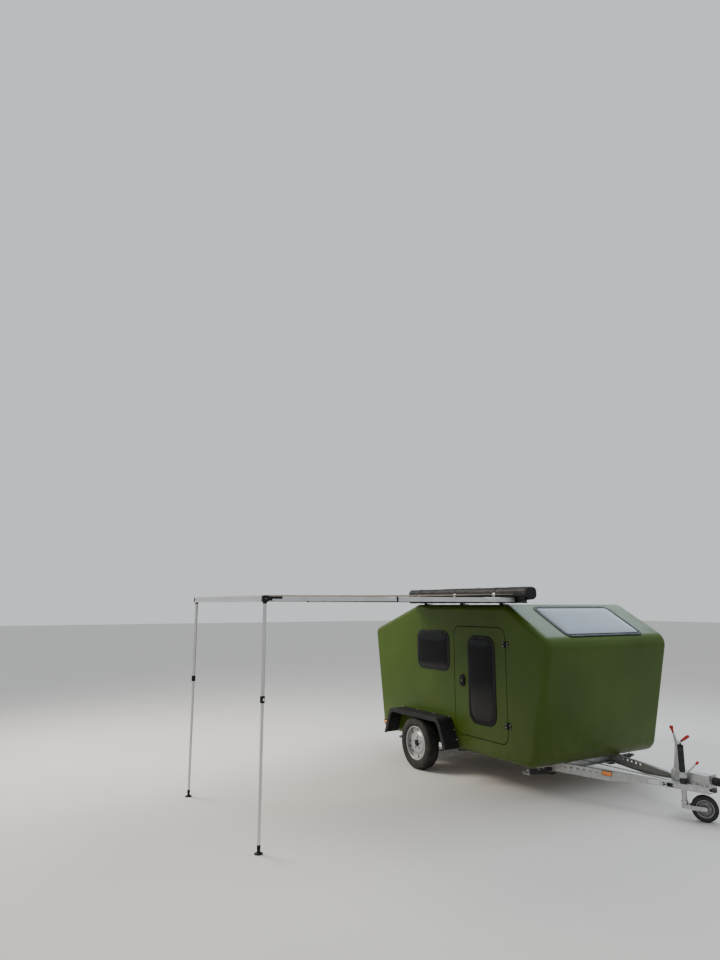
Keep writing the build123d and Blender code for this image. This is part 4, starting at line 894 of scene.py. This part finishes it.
def tyre(name, body, node, centre, axis, rows, pitches, cuts=((0, 0),), slant=0):
    """A half section mirrored and turned, its cuts repeated at each pitch and slanted away from the
    middle rib."""
    u, v, w = basis(axis)
    half = [(*row, 0, 0)[:4] for row in rows]
    section = [(-row[0], *row[1:]) for row in reversed(half[1:])] + half
    rings = []
    for pitch in range(pitches):
        for phase, share in cuts:
            ring = []
            for along, radius, groove, cut in section:
                place = pitch + phase + slant * max(0, abs(along) - MIDDLE_RIB)
                angle = 2 * pi * place / pitches
                spoke = u * cos(angle) + v * sin(angle)
                ring.append(centre + w * along + spoke * (radius - groove - cut * share))
            rings.append(ring)
    Mesh(rubber_tyre).skin(rings, join=True).piece(name, "tyre_rubber", [node], body=body, sharp=32)


# Road wheels: tyre, both rim edges, five nuts in their seats, hub cap and valve
RIM_EDGE = (
    (164, 50), (164.6, 57), (167, 60), (171, 61), (176, 59.6), (178.4, 56.5), (177.6, 54), (172, 52.5),
)
NUT_SEAT = ((15.5, 35.9), (14.5, 38.5), (12, 39.4), (9.5, 38.6))
HUB_CAP = ((33, 35.9), (33, 44), (30, 48.5), (20, 50.4), (6, 51), (0.5, 51))
VALVE = ((6, 0), (6, 6), (4.2, 9), (3.6, 24), (4, 26), (4, 34), (3, 35.5))
NUT_CIRCLE = 56
VALVE_ANGLE = radians(200)
for side, s in SIDES:
    hub, out = Vector((WHEEL_X, s * WHEEL_Y, WHEEL_Z)), Vector((0, s, 0))
    tyre(f"road_tyre_{side}", f"wheel_{side}", f"tyre_{side}", hub, out, ROAD_ROWS, 50, CUTS, 0.012)
    rim = Mesh(paint_silver, steel_bright, plastic_black)
    rim.lathe(RIM_EDGE, hub, out, 96, join=True)
    rim.lathe([(r, -along) for r, along in reversed(RIM_EDGE)], hub, out, 96, join=True)
    for angle in turned(5, radians(18)):
        spot = hub + Vector((cos(angle), 0, sin(angle))) * NUT_CIRCLE
        rim.use(0).lathe(NUT_SEAT, spot, out, 28)
        rim.use(1).bolt(spot + out * 38.4, out, 17, 14, washer=False)
    rim.use(2).lathe(HUB_CAP, hub, out)
    spoke = Vector((cos(VALVE_ANGLE), 0, sin(VALVE_ANGLE)))
    rim.lathe(VALVE, hub + spoke * 149 + out * 20, out - spoke * 0.25, 20)
    rim.piece(f"rim_fittings_{side}", "rim_steel", body=f"wheel_{side}")

# Mudguards: a bead along the outer lip and one inside it, and the screws that hold them to the wall
GUARD_EDGE_Y = 1032
GUARD_SCREW_Y = 862
GUARD_TOP, GUARD_LOW = 592, 300
GUARD_LEAN = 0.39726
GUARD_CORNER = 95
BEADS = ((574, 0, 4), (528.8, 42, 0))
GUARD_SCREW = ((9, -0.5), (9, 0.8), (5.5, 1.4), (5.2, 3.6), (3.4, 4.6), (1, 4.8))
for side, s in SIDES:
    guard = Mesh(plastic_guard, steel_bright)
    edge_y = s * GUARD_EDGE_Y
    for reach, drop, inward in BEADS:
        top = GUARD_TOP - drop
        half = reach - (top - GUARD_LOW) * GUARD_LEAN
        corners = [(-reach, GUARD_LOW), (-half, top), (half, top), (reach, GUARD_LOW)]
        path = []
        for p in bend([(WHEEL_X + x, edge_y, z) for x, z in corners], GUARD_CORNER - drop, 10):
            inside = Vector((WHEEL_X, edge_y, max(p.z - 120, GUARD_LOW)))
            path.append(p + (inside - p).normalized() * inward)
        guard.use(0).tube(path, 3.6)
    for way in (-1, 1):
        for dx in (150, 430):
            spot = Vector((WHEEL_X + way * dx, s * GUARD_SCREW_Y, GUARD_TOP))
            guard.use(1).lathe(GUARD_SCREW, spot, UP, 20)
        for z in (380, 470):
            dx = BEADS[0][0] - (z - GUARD_LOW) * GUARD_LEAN
            spot = Vector((WHEEL_X + way * dx, s * GUARD_SCREW_Y, z))
            guard.lathe(GUARD_SCREW, spot, (way, 0, GUARD_LEAN), 20)
    guard.piece(f"mudguard_trim_{side}", "black_plastic")

# Ends of the steadies' spindles: plated hexagons, and the bolts of their feet
SPINDLE = ((14.3, 0), (14.3, 29), (12.6, 30.3), (9.4, 30.3), (9, 24), (2, 24))
ends = Mesh(steel_bright, zinc_cast)
for x in (-2520, -470):
    for s in (-1, 1):
        ends.use(1).lathe(SPINDLE, (x, s * 750, 215), (0, s, 0), 32)
        ends.use(0).bolt((x, s * 716, 215), (0, s, 0), 26, 9)
        for dy in (-30, 30):
            for dx in (12, -12):
                ends.bolt((x + dx, s * (560 + dy), 230), UP)
ends.piece("steady_fittings", "galvanised")

# Drawbar: places on the outer face of one rail's web, along the slope towards the coupling
RAIL_SLOPE = 464 / 1720
RAIL_START = (-820, 520)
RAIL_MID_Z = 261


def web_face(s, x, z):
    """On the outer face of a drawbar rail, with its directions as on the body's faces."""
    y = RAIL_START[1] - (x - RAIL_START[0]) * RAIL_SLOPE
    out = Vector((RAIL_SLOPE, s, 0)).normalized()
    return face_frame(Vector((x, s * y, z)), UP.cross(out), UP, out)


plates = Mesh(plastic_black, lens_amber, blank_plate, steel_bright)
for s in (-1, 1):
    spot = web_face(s, 71, 262)
    plates.use(0).slab(rounded(96, 42, 5), 0, 4, 1.2, spot)
    plates.use(1).slab(rounded(89, 35, 4), 3, 8, 2, spot)
spot = web_face(-1, 586, 260)
plates.use(0).slab(rounded(84, 30, 3), 0, 2.4, 0.6, spot)
for x in (-36, 36):
    plates.use(3).stud([(3.4, 2.2), (3.4, 3.2), (2, 3.9), (0.6, 4)], spot, x, steps=14)
plates.use(2).slab(rounded(92, 34, 3), 0, 1, 0.3, web_face(-1, 470, RAIL_MID_Z))
plates.piece("drawbar_plates", "board")

# Bolts in pairs: those of the webs by x, z and size, and the others by place, way, size and nut, where
# the way is up, forward or outward
WEB_BOLTS = (
    (-410, 218, 19), (-410, 266, 19), (570, 249, 19), (570, 273, 19),
    (770, RAIL_MID_Z, 17), (850, RAIL_MID_Z, 17),
)
PAIRED_BOLTS = (
    (778, 66, 290, "up", 17, True), (868, 62, 290, "up", 17, True),
    (905, 44, 318, "forward", 10, False), (905, 44, 358, "forward", 10, False),
    (-1775, 526, 228, "outward", 19, False), (-1695, 526, 228, "outward", 19, False),
    (575, 16, 352, "outward", 24, True),
)
COUPLING_BOLT = (1086, 34.5, HOUSING_Z)
bolts = Mesh(steel_bright)
for s in (-1, 1):
    ways = {"up": UP, "forward": AHEAD, "outward": Vector((0, s, 0))}
    for x, z, size in WEB_BOLTS:
        spot = web_face(s, x, z)
        bolts.bolt(spot.translation, out_of(spot), size)
    for x, y, z, way, size, nut in (*PAIRED_BOLTS, (*COUPLING_BOLT, "outward", 17, s > 0)):
        bolts.bolt((x, s * y, z), ways[way], size, nut=nut)
bolts.bolt((726, -100, 354), (0, -1, 0))
for x in (700, 850):
    bolts.lathe([(4.4, 0), (4.4, 5), (2.6, 8), (3.4, 10), (1.4, 12)], (x, 0, 376), UP, 16)
bolts.piece("drawbar_bolts", "galvanised")

# Brake linkage under the floor: rod, balance bar and the two sheathed cables
brake = Mesh(zinc_dip, rubber_seal)
brake.tube([(560, 0, 262), (-1660, 0, 236)], 5, 14)
brake.box((-1672, -70, 229), (-1658, 70, 243), 3)
for s in (-1, 1):
    route = (
        (-1665, 60, 236), (-1600, 62, 236), (-1520, 100, 236), (-1500, 220, 232), (-1560, 380, 196),
        (-1700, 560, 186), (-1820, 700, 200), (-1850, 860, 214), (-1856, 893, 216),
    )
    brake.use(1).tube(curve([(x, s * y, z) for x, y, z in route], 8), 4.6, 10)
brake.piece("brake_linkage", "rubber")

# Bellows with rounded folds, and the bands that hold its ends
BELLOWS_X = 905
FOLDS, PER_FOLD = 7, 8
CLIP = ((30.6, 0), (32.6, 0.4), (32.6, 5.6), (30.6, 6))
bellows = Mesh(rubber_soft, steel_bright)
profile = [(22.3, 0), (31.5, 0), (31.5, 9), (27.5, 11)]
for k in range(FOLDS * PER_FOLD + 1):
    wave = 0.5 - 0.5 * cos(2 * pi * k / PER_FOLD)
    profile.append((27.2 + 6.6 * wave ** 0.8, 11.5 + 95 * k / (FOLDS * PER_FOLD)))
profile += [(27.5, 107), (30.5, 109), (30.5, 117.6), (22.3, 117.6)]
bellows.lathe(profile, (BELLOWS_X, 0, HOUSING_Z), AHEAD, 72, join=True)
for x in (BELLOWS_X + 2.5, BELLOWS_X + 109.5):
    bellows.use(1).lathe(CLIP, (x, 0, HOUSING_Z), AHEAD, 60, join=True)
bellows.piece("drawtube_gaiter", "rubber", ["drawtube_bellows"])

# Coupling: ribbed grip on its handle, and a collar behind the ball socket
COLLAR = ((23, 0), (31, 0.5), (33, 4), (33, 14), (31, 17.5), (23, 18))
coupling = Mesh(rubber_seal, zinc_cast)
coupling.box((1020, -17, 389.5), (1066, 17, 403.5), 5, 4)
for x in (1028, 1036, 1044, 1052):
    coupling.box((x, -17.6, 400), (x + 4, 17.6, 404.6), 1.2)
coupling.use(1).lathe(COLLAR, (1023.5, 0, HOUSING_Z), AHEAD, join=True)
coupling.piece("coupling_fittings", "rubber")

# Red grips of the brake lever, the crank and the clamp: start, axis, length and a profile whose
# places are shares of the length
CRANK_PIVOT = Vector((NOSE_X, NOSE_Y, 614))
CRANK_AXIS = Vector((0.788, 0.118, 0.604)).normalized()
GRIPS = (
    ((574, 0, 662), (-0.2933, 0, 0.956), 62, (
        (7.4, 0), (8.4, 0.03), (8.8, 0.2), (10.4, 0.42), (14.2, 0.62), (16.8, 0.78), (16.2, 0.9),
        (11.5, 0.98), (2, 1))),
    (CRANK_PIVOT + CRANK_AXIS * 26, CRANK_AXIS, 76, (
        (9.4, 0), (10.8, 0.03), (11.6, 0.12), (10.9, 0.2), (12.6, 0.45), (12.9, 0.7), (12, 0.85),
        (9, 0.96), (2, 1))),
    ((806, -62, 454), (0.669, 0.146, 0.728), 32, (
        (6.6, 0), (8.4, 0.05), (9, 0.3), (10.8, 0.6), (10.9, 0.8), (8, 0.96), (1.5, 1))),
)
grips = Mesh(red_plastic)
for start, axis, length, shape in GRIPS:
    grips.lathe([(radius, share * length) for radius, share in shape], start, axis, 40)
grips.piece("grip_shapes", "red_grip", ["red_grips"])

# Nose wheel's tube: cap, collar, crank boss and end ring
NOSE_FOOT = (NOSE_X, NOSE_Y, 0)
tube = Mesh(plastic_black, steel_bright)
tube.lathe([(20, 590), (25.4, 590.4), (25.4, 581), (24.1, 579)], NOSE_FOOT, UP)
tube.lathe([(24.1, 247), (26, 246), (26, 236), (24.1, 235.4)], NOSE_FOOT, UP, join=True)
boss = [(11.5, -9), (13, -7), (13, 7), (11.5, 9), (2, 9.4)]
tube.use(1).lathe(boss, CRANK_PIVOT, UP.cross(CRANK_AXIS), 28)
tube.lathe([(21, 236), (24, 235.9), (23.4, 231.6), (21, 230.8)], NOSE_FOOT, UP, join=True)
tube.piece("nose_tube_fittings", "dark_steel")

# Nose wheel at its swivel's rest angle: tyre, rim edges and nuts, axle nuts and fork's ring
SWIVEL = radians(36)
TRAIL = 148
NOSE_EDGE = ((60, 14), (62, 21), (65, 24.4), (68.6, 24.6), (70, 22.6), (66, 20))
heading = Vector((cos(SWIVEL), sin(SWIVEL), 0))
nose_side = Vector((-heading.y, heading.x, 0))
nose_hub = Vector((NOSE_X, NOSE_Y, 104)) + heading * TRAIL
tyre("nose_tyre_shape", "nose_wheel", "nose_tyre", nose_hub, nose_side, NOSE_ROWS, 96)
nose_rim, nuts = Mesh(paint_silver, steel_bright), Mesh(steel_bright)
for out in (-nose_side, nose_side):
    nose_rim.use(0).lathe(NOSE_EDGE, nose_hub, out, 72, join=True)
    for angle in turned(5):
        spot = nose_hub + (heading * cos(angle) + UP * sin(angle)) * 38 + out * 7
        nose_rim.use(1).bolt(spot, out, 8, washer=False)
    nuts.bolt(nose_hub + out * 42, out, 17, 7)
nose_rim.piece("nose_rim_fittings", "rim_steel", body="nose_wheel")
nuts.lathe([(26.3, 148), (27.2, 146), (27.2, 140), (26.3, 138)], NOSE_FOOT, UP, 40, join=True)
nuts.piece("fork_fittings", "galvanised", body="nose_fork")


# Awning. The arms run level from the bag to the lead bar; the cloth rises a little towards the bag
def grooved(width, height, slots, depth, mouth):
    """The section of an extrusion: a rectangle with a slot in the middle of the sides named."""
    x, y, m = width / 2, height / 2, mouth / 2
    section = []
    for name, points in (
        ("right", [(x, -y), (x, -m), (x - depth, -m), (x - depth, m), (x, m)]),
        ("top", [(x, y)]),
        ("left", [(-x, y), (-x, m), (-x + depth, m), (-x + depth, -m), (-x, -m)]),
        ("bottom", [(-x, -y), (-m, -y), (-m, -y + depth), (m, -y + depth), (m, -y)]),
    ):
        section += points if name in slots else points[:1]
    return section


def around(x, low, high, half_x, half_z, z=BAR_Z):
    """The corners of a box about an arm, between two places along it."""
    return (x - half_x, low, z - half_z), (x + half_x, high, z + half_z)


# Lead bar: the extrusion with its bead, and a corner, an elbow and bolts at each end
BAR_ENDS = (-2082, -398)
BAR_CORNERS = ((-1, -2116, ARM_X[0]), (1, -364, ARM_X[1]))
bar = Mesh(aluminium, plastic_black, steel_bright)
rear, front = ((x, BAR_Y, BAR_Z) for x in BAR_ENDS)
bar.sweep(grooved(49, 49, ("right", "left", "bottom"), 3, 13), rear, front)
for s, end, elbow in BAR_CORNERS:
    bar.use(1).box(*around(end - s * 18, BAR_Y - 25, BAR_Y + 25, 18, 25), 5, 4)
    bar.box(*around(elbow, BAR_Y + 20, BAR_Y + 56, 13, 17, BAR_Z + 2), 4, 4)
    bar.box(*around(elbow, BAR_Y + 40, BAR_Y + 139, 12.6, 9.75, BAR_Z + 8.75), 3, 3)
    for y in (BAR_Y + 76, BAR_Y + 120):
        bar.bolt((elbow + s * 12.5, y, BAR_Z + 9), (s, 0, 0), 8, washer=False)
    bar.use(2).bolt((end, BAR_Y, BAR_Z), (s, 0, 0), 6, 0.01, washer=False)
rear, front = ((x, BAR_Y, BAR_Z + 24.5) for x in BAR_ENDS)
bar.use(0).sweep([(-3, -2), (3, -2), (3, 2), (-3, 2)], rear, front)
bar.piece("lead_bar", "aluminium", ["awning_bar"])

# Arms: outer and inner tube with the cap of their joint and an end cap, and a bracket on the front one
ARM_START, ARM_JOINT, ARM_END = -884, -2222, -3414
arms = Mesh(aluminium, plastic_black, steel_bright)
for s, x in zip((-1, 1), ARM_X):
    for width, height, depth, mouth, y0, y1 in (
        (24, 40, 3, 16, ARM_START, ARM_JOINT - 4), (18, 32, 2, 12, ARM_JOINT, ARM_END),
    ):
        section = grooved(width, height, ("right", "left"), depth, mouth)
        arms.use(0).sweep(section, (x, y0, BAR_Z), (x, y1, BAR_Z))
    arms.use(1).box(*around(x, ARM_JOINT - 14, ARM_JOINT, 13.5, 21.5), 3, 3)
    arms.box(*around(x, ARM_START - 12, ARM_START + 6, 14.5, 22.5), 3, 3)
    screw = (x, ARM_JOINT + 22, BAR_Z)
    arms.use(2).lathe([(6, 11.9), (6, 13), (4.5, 14.2), (1.5, 14.6)], screw, (s, 0, 0), 24)
    if s > 0:
        arms.use(0).box(*around(x, -1263, -1067, 14, 21.5), 3, 3)
        for y in (-1240, -1090):
            arms.use(2).bolt((x + 14, y, BAR_Z), AHEAD, 10)
arms.piece("awning_arm_bars", "aluminium", ["awning_arms"])

# Legs: upper tubes, their clamps and top collars, and lower tubes with ball-jointed feet
SLEEVE = ((12.4, 1050.4), (13.9, 1050.4), (13.9, 1776.8), (12.4, 1776.8))
CLAMP = ((12.2, 1036), (17.5, 1037), (18.5, 1041), (18.5, 1080), (17.5, 1086), (14, 1088), (14, 1050),
         (12.2, 1050))
CLAMP_KNOB = ((4, 0), (8.5, 0.4), (9.5, 3), (9.5, 11), (8, 14), (2, 14.6))
LEG_SHAPES = (
    (0, 32, ((11.5, 44), (11.5, 1379.6), (6, 1380))),
    (1, 32, ((11.6, 62), (13.6, 60), (13.8, 40), (12, 30), (12, 22))),
    (1, 40, ((6, 30), (11, 26), (13, 20), (14.5, 13), (27, 9.5), (30.5, 8), (31.4, 5))),
    (2, 48, ((31, 5.4), (31.7, 4.4), (31.7, 1), (30.5, 0.2), (4, 0.2))),
)
sleeves = Mesh(aluminium_leg, plastic_black, steel_bright)
for s, x in zip((-1, 1), LEG_X):
    foot = (x, BAR_Y, 0)
    sleeves.use(0).lathe(SLEEVE, foot, UP, 36, join=True)
    sleeves.use(1).lathe(CLAMP, foot, UP, 36, join=True)
    sleeves.box((x + s * 12 - 7, BAR_Y - 9, 1046), (x + s * 18 + 7, BAR_Y + 9, 1078), 2.5)
    sleeves.use(2).lathe(CLAMP_KNOB, (x + s * 24, BAR_Y, 1062), (s, 0, 0), 24)
    sleeves.use(1).lathe([(14, 1764), (16.5, 1765), (16.5, 1777), (12, 1777.4)], foot, UP, 36)
sleeves.piece("leg_sleeve_tubes", "aluminium", ["awning_leg_sleeves"])
for name, x in zip(("awning_leg_rear", "awning_leg_front"), LEG_X):
    leg = Mesh(aluminium_leg, plastic_black, rubber_soft)
    for index, steps, shape in LEG_SHAPES:
        leg.use(index).lathe(shape, (x, BAR_Y, 0), UP, steps)
    leg.piece(f"{name}_tube", "aluminium", [name], body=name)


# Cloth: one sheet held taut by its two ends, hanging slightly between them, hemmed and seamed
CLOTH_X = (-2076, -404)
CLOTH_BAR, CLOTH_BAG = (BAR_Y, 1828.5), (CASE_OUT_Y, 1854.5)
CLOTH_THICK = 1.4
EDGE_PULL = 9
ACROSS, ALONG = 76, 112
HEM_HALF, SEAM_HALF = 17, 9


def drop(u, v):
    """How far the cloth hangs at a share of its width and its length: the sag between its ends, less
    flutes along its sides, small puckers and folds where its ends are held."""
    hang = 13 * sin(pi * v) * (0.35 + 0.65 * sin(pi * u))
    fade = exp(-min(u, 1 - u) * 7)
    flute = 2.2 * sin(pi * v) * sin(u * 34 + 1.4 * sin(5 * v)) * fade
    pucker = 1.2 * noise.noise(Vector((u * 9, v * 16, 3.7)))
    tight = exp(-min(v, 1 - v) * 26) * sin(u * 60)
    return hang - flute - (pucker + tight) * sin(pi * v) ** 0.25


def on_cloth(u, v):
    """A point of the cloth's upper face."""
    pull = EDGE_PULL * sin(pi * v)
    x = CLOTH_X[0] + pull + (CLOTH_X[1] - CLOTH_X[0] - 2 * pull) * u
    y, z = (a + (b - a) * v for a, b in zip(CLOTH_BAR, CLOTH_BAG))
    return x, y, z - drop(u, v)


def canopy():
    """The sheet, as an upper and a lower face, and its hems and seams."""
    cloth = woven("awning_canvas", (0.42, 0.36, 0.27), 330, 0.8, 0.2, 0.0003, 40)
    hem_cloth = woven("awning_hem", (0.36, 0.31, 0.23), 330, 0.8, 0.2, 0.0003)
    grid = [on_cloth(j / ACROSS, i / ALONG) for i in range(ALONG + 1) for j in range(ACROSS + 1)]
    starts = [i * (ACROSS + 1) + j for i in range(ALONG) for j in range(ACROSS)]
    quads = [(a, a + 1, a + ACROSS + 2, a + ACROSS + 1) for a in starts]
    sheet = Mesh(cloth)
    sheet.add(grid, quads)
    sheet.add([(x, y, z - CLOTH_THICK) for x, y, z in grid], [tuple(reversed(quad)) for quad in quads])
    made = sheet.piece("awning_canopy", "awning_fabric", ["awning_cloth"], sharp=70)
    hems = Mesh(hem_cloth)
    for u, wide in ((0.006, HEM_HALF), (0.994, HEM_HALF), (0.335, SEAM_HALF), (0.665, SEAM_HALF)):
        section = ((-wide, 0.2), (1 - wide, 1.3), (wide - 1, 1.3), (wide, 0.2),
                   (wide, -1.8), (wide - 1, -2.8), (1 - wide, -2.8), (-wide, -1.8))
        line = [on_cloth(u, i / ALONG) for i in range(ALONG + 1)]
        hems.skin([[(x + dx, y, z + dz) for dx, dz in section] for x, y, z in line])
    hems.piece("awning_hems", "awning_fabric", sharp=50)
    return made


canopy()

# Bag: a soft sleeve round the roller, flattened on its brackets, creased between its straps
BAG_MIDDLE = ((CASE_OUT_Y + CASE_IN_Y) / 2, (CASE_LOW_Z + CASE_HIGH_Z) / 2)
BAG_HALF = ((CASE_IN_Y - CASE_OUT_Y) / 2, (CASE_HIGH_Z - CASE_LOW_Z) / 2)
BAG_RIM = rounded(2 * BAG_HALF[0] - 3, 2 * BAG_HALF[1] - 3, 47, 11)
STRAP_SECTION = ((-19, -2.6), (-18, 0.2), (-17, 0.9), (17, 0.9), (18, 0.2), (19, -2.6))


def bag_ring(x):
    """The bag's outline at one place, pulled in by wrinkles, sag and straps."""
    close = 1 - 0.10 * exp(-min(x - CASE_REAR_X, CASE_FRONT_X - x) / 9)
    strap = max(exp(-((x - place) / 26) ** 2) for place in BRACKET_X)
    ring = []
    for y, z in BAG_RIM:
        angle = atan2(z, y)
        c, s = cos(angle), sin(angle)
        wrinkle = noise.noise(Vector((x * 0.012, 2.2 * c, 2.2 * s + 8)))
        fine = noise.noise(Vector((x * 0.045 + z * 0.03, 3.6 * c, 3.6 * s)))
        sag = 3.4 * max(0, s) * (0.6 + 0.4 * sin(x * 0.0061))
        pull = max(2.2 + 2.6 * wrinkle + 1.5 * fine + sag + 2.6 * strap, 0)
        share = close * (1 - pull / hypot(y, z))
        ring.append((x, BAG_MIDDLE[0] + y * share, BAG_MIDDLE[1] + z * share))
    return ring


def strap_ring(x, lift):
    """A strap's outline round the bag at one place, lifted off the cloth."""
    ring = []
    for y, z in BAG_RIM:
        share = 1 - 3.2 / hypot(y, z)
        out, up = y * share * (1 + lift / BAG_HALF[0]), z * share * (1 + lift / BAG_HALF[1])
        ring.append((x, BAG_MIDDLE[0] + out, BAG_MIDDLE[1] + up))
    return ring


def lip_and_shade_ring(x):
    """The strip of black cloth that hangs under the bag, at one place: the bag's lower lip, hung down
    towards the roof edge so that it fills the gap there with black, which is painted shade.
    """
    wave = 1.6 * sin(x * 0.021) + 1.1 * sin(x * 0.053)
    hang = 1771 + 1.4 * sin(x * 0.034)
    return [
        (x, -862, 1803), (x, -865 + 0.4 * wave, 1790), (x, -866 + wave, hang), (x, -864 + wave, hang - 1.2),
        (x, -862 + wave, hang), (x, -861.6 + 0.4 * wave, 1790), (x, -859, 1803),
    ]


def spread(low, high, count):
    """Even places from one end to the other."""
    return [low + (high - low) * k / count for k in range(count + 1)]


cover = woven("awning_cover", (0.008, 0.008, 0.009), 520, 0.42, 0, 0.0003, 26, 0.2)
bag = Mesh(cover).skin([bag_ring(x) for x in spread(CASE_REAR_X, CASE_FRONT_X, 240)])
bag.piece("awning_bag", "case_fabric", ["awning_case"], sharp=60)
trim = Mesh(cover, steel_bright, paint_dark)
for x in BRACKET_X:
    trim.use(0).skin([strap_ring(x + dx, lift) for dx, lift in STRAP_SECTION], caps=False)
    trim.use(1).box((x - 22, CASE_OUT_Y - 0.5, 1838), (x + 22, CASE_OUT_Y + 5, 1868), 2)
zip_line = [
    (x, CASE_OUT_Y + 2.6 + 0.8 * sin(k * 0.7), 1816 + 1.2 * sin(k * 0.23))
    for k, x in enumerate(spread(CASE_REAR_X + 20, CASE_FRONT_X - 20, 160))
]
trim.use(0).tube(zip_line, 2.6, 8, flat=1.6)
rail = ((x, -850, CASE_LOW_Z + 0.2) for x in (CASE_REAR_X + 4, CASE_FRONT_X - 4))
trim.use(2).sweep([(-26, 0), (26, 0), (26, 3), (-26, 3)], *rail)
# The black strip under the bag: partly the bag's lip, partly painted shade that fills the gap above the
# roof edge.
trim.use(0).skin([lip_and_shade_ring(x) for x in spread(CASE_REAR_X + 6, CASE_FRONT_X - 6, 160)])
trim.piece("bag_straps", "case_fabric", sharp=40)

# Bolts of the bag's brackets
bracket_bolts = Mesh(steel_bright)
for x in BRACKET_X:
    for dx in (-14, 14):
        bracket_bolts.bolt((x + dx, -752, 1763), UP)
        bracket_bolts.bolt((x + dx, -779, 1782), (0, 1, 0), 10)
bracket_bolts.piece("bracket_bolts", "aluminium")


# Floor, light and camera
FLOOR_REACH = 60000
SKY = ((0.86, 0.90, 0.94, 1), 0.85)
LAMPS = (
    ("key", (-5200, -5200, 5200), (-1200, -900, 800), 3200, 470, (1, 0.93, 0.82)),
    ("top", (-600, 600, 6200), (-900, -600, 900), 4200, 200, (0.93, 0.96, 1)),
    ("sky_card", (-2300, 4700, 5900), (-500, -200, 1300), 4000, 120, (0.66, 0.82, 1)),
)
# The photograph's camera, from the perspective fit
CAMERA = Vector((4482.4, -5475.6, 1757.6))
CAMERA_HEADING = (-0.8605, 0.5094)
CAMERA_TILT = radians(10.475)
FOCAL_PIXELS, PHOTO_PIXELS, SENSOR = 673.4, 960, 36


def studio():
    """A plain pale floor, a pale sky and three soft lamps."""
    look = Look("studio_floor", (0.62, 0.60, 0.57), 0.85)
    look.done(look.mix(look.noise(0.8, 3), (0.60, 0.58, 0.55), (0.66, 0.64, 0.61)))
    corners = [(x * FLOOR_REACH, y * FLOOR_REACH, 0) for x, y in ((-1, -1), (1, -1), (1, 1), (-1, 1))]
    ground = Mesh(look.mat).add(corners, ((0, 1, 2, 3),))
    linked("studio_floor", ground.data("studio_floor"))
    world = bpy.data.worlds.new("studio")
    bpy.context.scene.world = world
    world.use_nodes = True
    for socket, value in zip(("Color", "Strength"), SKY):
        world.node_tree.nodes["Background"].inputs[socket].default_value = value
    for name, place, target, size, power, color in LAMPS:
        lamp = bpy.data.lights.new(name, "AREA")
        lamp.shape = "DISK"
        lamp.size = size * MM
        lamp.energy = power
        lamp.color = color
        holder = linked(name, lamp)
        holder.location = TO_ROW @ Vector(place)
        holder.rotation_mode = "QUATERNION"
        holder.rotation_quaternion = (TO_ROW @ Vector(target) - holder.location).to_track_quat("-Z", "Y")


def place_camera():
    data = bpy.data.cameras.new("camera")
    data.sensor_width = SENSOR
    data.lens = SENSOR * FOCAL_PIXELS / PHOTO_PIXELS
    data.clip_start = 0.05
    data.clip_end = 200
    holder = linked("camera", data)
    level = Vector((*CAMERA_HEADING, 0)) * cos(CAMERA_TILT)
    forward = (level + UP * sin(CAMERA_TILT)).normalized()
    right = forward.cross(UP).normalized()
    holder.matrix_world = face_frame(TO_ROW @ CAMERA, right, right.cross(forward), -forward)
    bpy.context.scene.camera = holder


studio()
place_camera()
